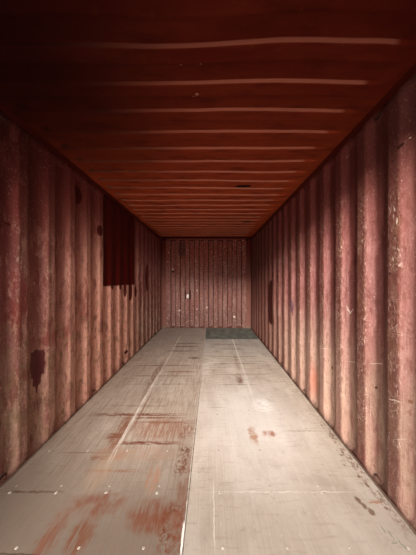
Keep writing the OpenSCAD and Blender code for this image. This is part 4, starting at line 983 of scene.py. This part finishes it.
# %% Plywood
def bare_plywood(name):
    """Pale worn plywood with its grain and scores, painted shade greying it towards the front wall, and the
    textures for its stains.
    """
    wood = Finish(name, "#cfc2b1", 0.8)
    wood.lay("#b09f8c", wood.grains((8, 420, 60), 0.4, 0.7, 3.0, 1.0), 0.55)
    wood.lay("#e2d8c9", wood.grains((200, 420, 60), 0.42, 0.66, 3.0, 2.0), 0.7)
    wood.lay("#a39280", wood.grains((110, 170, 60), 0.5, 0.72, 4.0, 3.0, 0.65), 0.5)
    far_half = wood.fade("Y", -0.7, 0.4)
    wood.lay("#7c6757", wood.grains((380, 12, 60), 0.52, 0.66, 3.0, 4.0, 0.65), far_half, 0.8)
    wood.lay("#e9dfd0", wood.grains((140, 8, 60), 0.6, 0.68, 1.0, 5.0), far_half, 0.6)
    # Greyer towards the front wall: painted shade.
    wood.lay("#757678", wood.fade("Y", 0.2, 2.4), 0.55)
    wood.lay("#8f7864", wood.grains((46, 30, 60), 0.6, 0.72, 4.0, 20.0, 0.7), 0.6)
    wood.lay("#9d8470", wood.grains((170, 22, 60), 0.55, 0.7, 4.0, 22.0, 0.7), 0.5)
    wood.lay("#f6f0e6", wood.grains((7, 50, 60), 0.68, 0.74, 2.0, 21.0), 0.7)
    wood.lift(0.3, wood.grains((4, 60, 60), 0.35, 0.65, 1.0, 12.0))
    fine = wood.grains((20, 26, 60), 0.44, 0.56, 4.0, 9.0, 0.75)
    textures = {
        "plain": 1.0,
        "grit": wood.grains((90, 14, 60), 0.36, 0.5, 3.0, 8.0, 0.7),
        "drag": wood.grains((12, 150, 60), 0.36, 0.56, 4.0, 14.0, 0.65),
        "smudge": wood.grains((60, 90, 60), 0.3, 0.6, 3.0, 10.0),
        "speckle": wood.overlap(fine, wood.grains((70, 90, 60), 0.3, 0.55, 2.0, 13.0)),
        "scuff": wood.grains((60, 12, 60), 0.42, 0.56, 2.0, 11.0)}
    return wood, textures


left_wood, left_textures = bare_plywood("scuffed_hardwood_plywood_painted_shade_left")
right_wood, right_textures = bare_plywood("scuffed_hardwood_plywood_painted_light_and_shade_right")
left_wood.lay("#a58c79", 0.35)
# Painted shade near the door, deeper towards the left.
left_wood.lay("#6b5e53", left_wood.fade("Y", -0.9, -1.95), 0.88)
left_wood.lay("#6d5f53", left_wood.fade("X", -0.4, -1.15), left_wood.fade("Y", -0.3, -1.9), 0.45)
left_wood.lay("#84705f", left_wood.grains((12, 260, 60), 0.48, 0.62, 4.0, 26.0, 0.7), 0.5)
# Darker along the right wall near the door, a pale pool of painted light in the middle of the boards, and
# painted shade near the door.
right_wood.lay("#8f8377", right_wood.fade("X", 0.7, 1.2), right_wood.fade("Y", -0.6, -1.9), 0.35)
right_wood.lay("#f3eee8", right_wood.stain((0.5, -0.85, FLOOR_TOP), (0.75, 1.1, ANYWHERE), 0.1, 0.95), 0.6)
right_wood.lay("#8b8176", right_wood.fade("Y", -1.1, -1.95), 0.66)
for wood in (left_wood, right_wood):
    # Darker across the doorway, painted shade against the lamps, with grit and dirt over it.
    doorway = wood.fade("Y", -2.05, -2.5)
    wood.lay("#685a4e", doorway, 0.8)
    wood.lay("#8f7f6f", wood.grains((300, 160, 60), 0.42, 0.6, 4.0, 24.0, 0.7), doorway, 0.6)
    wood.lay("#43352c", wood.grains((110, 60, 60), 0.55, 0.66, 4.0, 25.0, 0.7), doorway, 0.6)


def floor_spot(x, y, half_x, half_y, colour, texture, strength, **shape):
    """Lays one stain on the row of boards that it lies on."""
    wood, textures = (left_wood, left_textures) if x < 0 else (right_wood, right_textures)
    mask = wood.stain((x, y, FLOOR_TOP), (half_x, half_y, ANYWHERE), **shape)
    wood.lay(colour, mask, textures[texture], strength)


# %% [markdown]
# Bands of dirt and rust lie across the floor where cross members stiffen the boards and water dried.

# %% Bands across the floor
RUST = "#7b4c39"
PALE = "#efe7da"
# Place along the box, where the band starts and ends across it, half width, colour, strength
BANDS = ((-1.597, -1.16, -0.72, 0.009, "#5d4536", 0.9), (-1.446, -0.76, -0.30, 0.016, "#8d5f47", 0.6),
         (-1.340, -0.75, -0.60, 0.026, RUST, 0.8), (-1.290, -1.07, -0.50, 0.008, "#80624f", 0.7),
         (-1.190, -0.73, -0.01, 0.026, RUST, 1.0), (-1.110, -0.75, -0.55, 0.050, RUST, 0.9),
         (-0.935, -0.62, -0.01, 0.020, RUST, 0.8), (-0.820, -1.14, -0.01, 0.030, RUST, 1.0),
         (-0.870, -0.80, -0.01, 0.016, RUST, 0.9), (-0.670, -1.00, -0.20, 0.014, "#8a6f5c", 0.7),
         (-0.195, -0.95, -0.05, 0.014, "#7d5a48", 0.8), (0.040, -1.00, -0.02, 0.016, "#7a4633", 0.9),
         (0.170, -0.58, -0.02, 0.026, "#86583f", 0.9), (0.400, -1.05, -0.02, 0.022, "#6a5347", 0.9),
         (0.720, -0.27, -0.03, 0.050, "#644c3c", 0.9), (1.080, -0.75, -0.04, 0.034, "#573f31", 1.0),
         (1.350, -0.70, -0.04, 0.040, "#573f31", 1.0), (1.560, -0.70, -0.02, 0.040, "#5c4e44", 0.9),
         (-1.050, 0.70, 1.15, 0.008, "#a88f78", 0.7), (-0.700, 0.08, 0.32, 0.008, "#a08468", 0.7),
         (-1.597, 0.03, 1.14, 0.004, PALE, 0.4), (-0.210, 0.15, 0.75, 0.012, "#85735f", 0.7),
         (0.080, 0.10, 0.90, 0.012, "#85735f", 0.7), (0.480, 0.05, 1.00, 0.016, "#7d6c5b", 0.8),
         (0.800, 0.05, 1.00, 0.016, "#7d6c5b", 0.8), (1.200, 0.05, 0.90, 0.024, "#76675a", 0.8),
         (1.500, 0.05, 0.85, 0.034, "#6f6056", 0.9))
for y, x_from, x_to, half_y, colour, strength in BANDS:
    floor_spot((x_from + x_to) / 2, y, (x_to - x_from) / 2, half_y, colour, "grit", strength,
               ragged=0.03, edge=0.7, square=1.0)

# %% [markdown]
# Steel coils and bars stood on the left half near the door. They left soft patches of rust, dragged
# along the box, and a speckled strip where scale fell into the seam. Forklifts polished two thin lines
# down the floor.

# %% Stains and lines
# Place across and along the box, half sizes, colour, texture, strength
STAINS = (
    (-0.30, -1.020, 0.34, 0.19, "#96654d", "drag", 0.75),
    (-0.62, -1.050, 0.09, 0.34, "#8c5c45", "drag", 0.9),
    (-0.52, -1.668, 0.22, 0.095, RUST, "smudge", 0.8),
    (-0.67, -1.830, 0.065, 0.17, RUST, "drag", 0.75),
    (-0.52, -1.830, 0.085, 0.12, "#764a36", "drag", 0.85),
    (-0.19, -1.735, 0.17, 0.13, RUST, "smudge", 0.75),
    (-0.19, -1.735, 0.15, 0.12, "#74432f", "drag", 0.7),
    (-0.24, -1.500, 0.06, 0.14, "#a87a5e", "drag", 0.7),
    (-0.60, -1.300, 0.16, 0.10, "#a5785e", "smudge", 0.6),
    (-0.61, -1.450, 0.10, 0.20, "#a98d74", "drag", 0.6),
    (-0.35, -1.300, 0.30, 0.10, "#b08c74", "smudge", 0.5),
    (-0.62, 0.050, 0.06, 0.75, "#7d5a45", "drag", 0.8),
    (0.62, -1.085, 0.075, 0.048, "#a8674a", "smudge", 0.9),
    (0.48, -1.100, 0.045, 0.15, "#b98f72", "smudge", 0.9),
    (0.50, -0.050, 0.06, 0.22, RUST, "smudge", 0.8),
    (0.53, 0.550, 0.04, 0.40, "#8a6a56", "smudge", 0.6),
    (0.85, -1.520, 0.16, 0.06, "#a3968a", "smudge", 0.5),
    (0.66, -0.660, 0.13, 0.17, "#fdf9f2", "scuff", 0.95))
for x, y, half_x, half_y, colour, texture, strength in STAINS:
    floor_spot(x, y, half_x, half_y, colour, texture, strength, ragged=0.07, edge=0.6)
# The same, for straight strips
STRIPS = (
    (-0.073, -1.790, 0.075, 0.16, "#6b3c28", "speckle", 1.0),
    (-0.066, -1.350, 0.062, 0.16, "#6b3c28", "speckle", 0.9),
    (-0.075, -1.020, 0.080, 0.16, "#7d4a33", "speckle", 0.7),
    (-0.040, -1.600, 0.040, 0.36, RUST, "smudge", 0.6),
    (-0.585, -0.600, 0.018, 0.90, PALE, "drag", 0.8),
    (-0.570, 1.000, 0.016, 1.50, PALE, "drag", 0.5),
    (-0.545, -0.700, 0.010, 0.40, "#8a5f48", "plain", 0.7),
    (0.588, -0.500, 0.014, 0.50, PALE, "drag", 0.9),
    (0.593, 1.000, 0.016, 1.40, PALE, "drag", 0.7),
    (1.130, -1.350, 0.034, 0.60, "#6b4a38", "speckle", 0.8),
    (0.150, -1.700, 0.004, 0.22, PALE, "plain", 0.4),
    (0.300, -1.080, 0.004, 0.28, PALE, "plain", 0.4),
    (-0.800, -1.905, 0.150, 0.004, "#4a3a2e", "plain", 0.8),
    (-0.003, 0.000, 0.005, 3.00, "#e6dccb", "plain", 0.8),
    (-0.009, -1.840, 0.006, 0.09, "#f7f2e9", "plain", 0.9))
for x, y, half_x, half_y, colour, texture, strength in STRIPS:
    floor_spot(x, y, half_x, half_y, colour, texture, strength, ragged=0.014, edge=0.5, square=1.0)

# %% [markdown]
# Small marks come last: spilt drops at the right wall, a scrawl of green paint, and the pale rings that
# screw heads rub in the wood.

# %% Drops and rings
# Place across and along the box, half sizes, colour
DROP_BROWN, SCRAWL_GREEN, RING_PALE = "#5f402c", "#5f6a5a", "#f5efe5"
DROPS = [(0.992, -1.648, 0.018, 0.030, DROP_BROWN), (1.005, -1.680, 0.017, 0.024, DROP_BROWN),
         (1.022, -1.712, 0.018, 0.024, DROP_BROWN), (1.090, -1.310, 0.012, 0.012, DROP_BROWN),
         (1.100, -1.490, 0.012, 0.016, DROP_BROWN), (1.115, -1.550, 0.014, 0.022, DROP_BROWN),
         (1.060, -1.400, 0.008, 0.010, DROP_BROWN), (1.085, -1.662, 0.055, 0.010, "#9a6a52"),
         (1.018, -1.800, 0.005, 0.022, SCRAWL_GREEN), (1.042, -1.822, 0.004, 0.030, SCRAWL_GREEN),
         (1.030, -1.860, 0.022, 0.004, SCRAWL_GREEN), (1.062, -1.868, 0.004, 0.026, SCRAWL_GREEN)]
DROPS += [(x, -1.270, 0.009, 0.011, RING_PALE) for x in (-1.08, -0.80, -0.50, -0.19)]
DROPS += [(x, -1.602, 0.009, 0.011, RING_PALE) for x in (-1.08, -0.80, -0.50, -0.19, 0.19, 0.50, 0.80)]
for x, y, half_x, half_y, colour in DROPS:
    floor_spot(x, y, half_x, half_y, colour, "plain", 0.75, ragged=0.03, edge=0.5)
PLYWOOD_LEFT = left_wood.done()
PLYWOOD_RIGHT = right_wood.done()
print("plywood nodes", len(left_wood.tree.nodes), len(right_wood.tree.nodes))


# %% [markdown]
# One board at the front was replaced. Its dark phenolic film still covers it, dulled with dust.

# %% Replacement board
def film_finish():
    """Film-faced plywood, grey-green under dust."""
    film = Finish("film_faced_plywood", "#5b615a", 0.6)
    film.lay("#838579", film.grains((120, 260, 60), 0.4, 0.7, 3.0, 1.0), 0.8)
    film.lay("#42463d", film.grains((500, 18, 60), 0.55, 0.68, 2.0, 2.0), 0.6)
    return film.done()


# %% [markdown]
# ## Metal, rubber and the underside
#
# The rods and keepers are hot-dip galvanised, dull grey with a cloudy surface, and the lashing rings
# are rusted zinc. The floor's edge bars are bare steel rubbed bright. The gasket is moulded rubber, and
# wax coats the underside.

# %% Other finishes
def metal_finish(name, base, cloud, rough, metallic=0.75):
    """Dull zinc or steel with cloudy patches and rust in places. Dust takes the metallic look away."""
    metal = Finish(name, base, rough, metallic)
    metal.lay(cloud, metal.grains((50, 50, 60), 0.4, 0.62, 3.0, 1.0))
    rust = metal.grains((40, 40, 50), 0.62, 0.7, 4.0, 2.0, 0.7)
    metal.lay("#6d4630", rust)
    metal.roughen(0.85, rust)
    return metal.done()


def rubber_finish():
    """Moulded rubber, greyed by dust."""
    rubber = Finish("moulded_door_rubber", "#1b1b1c", 0.7)
    rubber.lay("#4a4643", rubber.grains((60, 60, 90), 0.45, 0.7, 3.0, 1.0), 0.6)
    return rubber.done()


FINISH_OF_SLOT = {
    "wall_paint": PAINT_OUTSIDE,
    "roof_paint": PAINT_ROOF_TOP,
    "frame_paint": PAINT_FRAME,
    "door_paint": PAINT_DOORS,
    "cast_steel_paint": PAINT_FRAME,
    "underframe_coating": outside_coat("underframe_wax_coating", "#2c1d18", "#3f2a21", 61.0).done(),
    "plywood": PLYWOOD_RIGHT,
    "replacement_plywood": film_finish(),
    "floor_steel": metal_finish("scuffed_mild_steel", "#c9c2b6", "#9c8f80", 0.6),
    "galvanised_steel": metal_finish("galvanised_steel", "#9a9d9d", "#7c8080", 0.5),
    "gasket_rubber": rubber_finish(),
    "vent_plastic": PAINT_OUTSIDE,
}
for entry in frame["record"]["subparts"]:
    node = frame["nodes"][entry["node"]]
    node.data.materials.clear()
    node.data.materials.append(FINISH_OF_SLOT[entry["material_slot"]])
frame["nodes"]["floor_boards_left"].data.materials[0] = PLYWOOD_LEFT
RUSTED_ZINC = metal_finish("rusted_zinc", "#5a4038", "#33231e", 0.8, 0.2)
frame["nodes"]["lashing_rings"].data.materials[0] = RUSTED_ZINC
DUSTY_STEEL = metal_finish("dusty_screw_steel", "#cfc5b7", "#a89b8b", 0.8, 0.2)

# %% [markdown]
# ## Fasteners
#
# Hundreds of screws hold the floor. One tree puts a head on every point it is given: a cone cut off near
# its base, which is what a countersunk screw, a rivet or a bolt head is, with more or fewer sides.

# %% The fastener tree
def fastener_tree():
    """A cut-off cone on every point, all turned one way."""
    tree, given = new_tree("fasteners", "GeometryNodeTree", {
        "Geometry": bpy.types.Mesh, "Sides": 10, "Radius": 0.007, "Top Radius": 0.005, "Rise": 0.001,
        "Turn": (0.0, 0.0, 0.0), "Finish": bpy.types.Material}, {"Geometry": bpy.types.Mesh})
    head = add(tree, "GeometryNodeMeshCone", {
        "Vertices": given["Sides"], "Radius Bottom": given["Radius"], "Radius Top": given["Top Radius"],
        "Depth": given["Rise"]})
    heads = add(tree, "GeometryNodeInstanceOnPoints", {
        "Points": given["Geometry"], "Instance": head, "Rotation": given["Turn"]})
    real = add(tree, "GeometryNodeRealizeInstances", {"Geometry": heads})
    done = add(tree, "GeometryNodeSetMaterial", {"Geometry": real, "Material": given["Finish"]})
    add(tree, "NodeGroupOutput", {"Geometry": done})
    return tree


FASTENERS = fastener_tree()


def fasten(name, slot, points, values):
    """Puts heads on points and lets them ride on the box."""
    made = build(name, FASTENERS, {"Finish": FINISH_OF_SLOT[slot], **values}, points)
    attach(made, "root")
    return made


# %% [markdown]
# The floor's screws stand in rows over the cross members, four to a half, and in double rows where two
# boards meet.

# %% Floor screws
MEMBER_SPACING, END_SPACING, END_START = 0.250, 0.300, 1.580
POCKET_MIDDLE, POCKET_FLANGE = 1.040, 0.225
SCREW_COLUMNS = (0.19, 0.50, 0.80, 1.08)
JOINT_HALF = 0.022
HEAD_SINK = 0.2 * MM
JOINTS = (-END_START, 2 * MEMBER_SPACING, END_START + END_SPACING)
rows = [i * MEMBER_SPACING for i in range(-3, 4)]
rows += [side * (END_START + i * END_SPACING) for side in (-1, 1) for i in range(5)]
rows += [side * POCKET_MIDDLE + edge * POCKET_FLANGE for side in (-1, 1) for edge in (-1, 1)]
screw_points = []
for y in rows:
    at_joint = any(abs(y - joint) < 0.01 for joint in JOINTS)
    for offset in ((-JOINT_HALF, JOINT_HALF) if at_joint else (0.0,)):
        screw_points += [(side * x, y + offset, FLOOR_TOP - HEAD_SINK)
                         for side in (-1, 1) for x in SCREW_COLUMNS]
screws = fasten("floor_screws", "floor_steel", screw_points, {
    "Finish": DUSTY_STEEL, "Sides": 10, "Radius": 7.5 * MM, "Top Radius": 6 * MM, "Rise": 1.2 * MM})
hold.objects.link(screws)

# %% [markdown]
# Rivets hold the gasket's strip on the inside of each leaf, and bolts hold the saddles that guide the lock
# rods on the outside. A leaf is set out closed, measured from its hinge pin, and swung open as the frame
# has it, folded back along the side wall.

# %% Door rivets and bolts
PIN_X, PIN_Y = 1.206, -3.016
DOOR_OPEN = math.radians(266)
LEAF_LOW, LEAF_HIGH = (corner.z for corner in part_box("door_frame_right"))
LEAF_NEAR, LEAF_FAR = 44 * MM, 1198 * MM
LEAF_OUTSIDE, LEAF_INSIDE = 44 * MM, 94 * MM
RIVET_INSET, RIVET_SPACING = 40 * MM, 160 * MM
RODS = (300 * MM, 880 * MM)
END_SADDLES = (LEAF_LOW + 75 * MM, LEAF_HIGH - 75 * MM)
BOLT_ACROSS, BOLT_UP, BOLT_RISE = 38 * MM, 14 * MM, 6 * MM


def swing(side, x, y, z):
    """Where a point of a closed leaf lies once the leaf is open."""
    turned_x = -x * math.cos(DOOR_OPEN) - y * math.sin(DOOR_OPEN)
    turned_y = -x * math.sin(DOOR_OPEN) + y * math.cos(DOOR_OPEN)
    return side * (PIN_X + turned_x), PIN_Y + turned_y, z


def spaced(low, high, spacing):
    """Even places from low to high, no further apart than the spacing."""
    steps = math.ceil((high - low) / spacing)
    return [low + (high - low) * i / steps for i in range(steps + 1)]


across = spaced(LEAF_NEAR + RIVET_INSET, LEAF_FAR - RIVET_INSET, RIVET_SPACING)
upward = spaced(LEAF_LOW + RIVET_INSET, LEAF_HIGH - RIVET_INSET, RIVET_SPACING)
rivets = [(x, z) for x in across for z in (upward[0], upward[-1])]
rivets += [(x, z) for z in upward[1:-1] for x in (across[0], across[-1])]
bolts = [(rod + i * BOLT_ACROSS, saddle + j * BOLT_UP)
         for rod in RODS for saddle in END_SADDLES for i in (-1, 1) for j in (-1, 1)]
RIVET = {"Sides": 12, "Radius": 6 * MM, "Top Radius": 3.5 * MM, "Rise": 2 * MM}
BOLT = {"Sides": 6, "Radius": 9 * MM, "Top Radius": 8 * MM, "Rise": BOLT_RISE}
for side, word in ((1, "right"), (-1, "left")):
    facing = math.radians(-4 if side > 0 else 184)
    rivet_points = [swing(side, x, LEAF_INSIDE, z) for x, z in rivets]
    fasten("gasket_rivets_" + word, "galvanised_steel", rivet_points, {
        **RIVET, "Turn": (0, math.pi / 2, facing)})
    bolt_points = [swing(side, x, LEAF_OUTSIDE - BOLT_RISE, z) for x, z in bolts]
    fasten("saddle_bolts_" + word, "galvanised_steel", bolt_points, {
        **BOLT, "Turn": (0, math.pi / 2, facing + math.pi)})
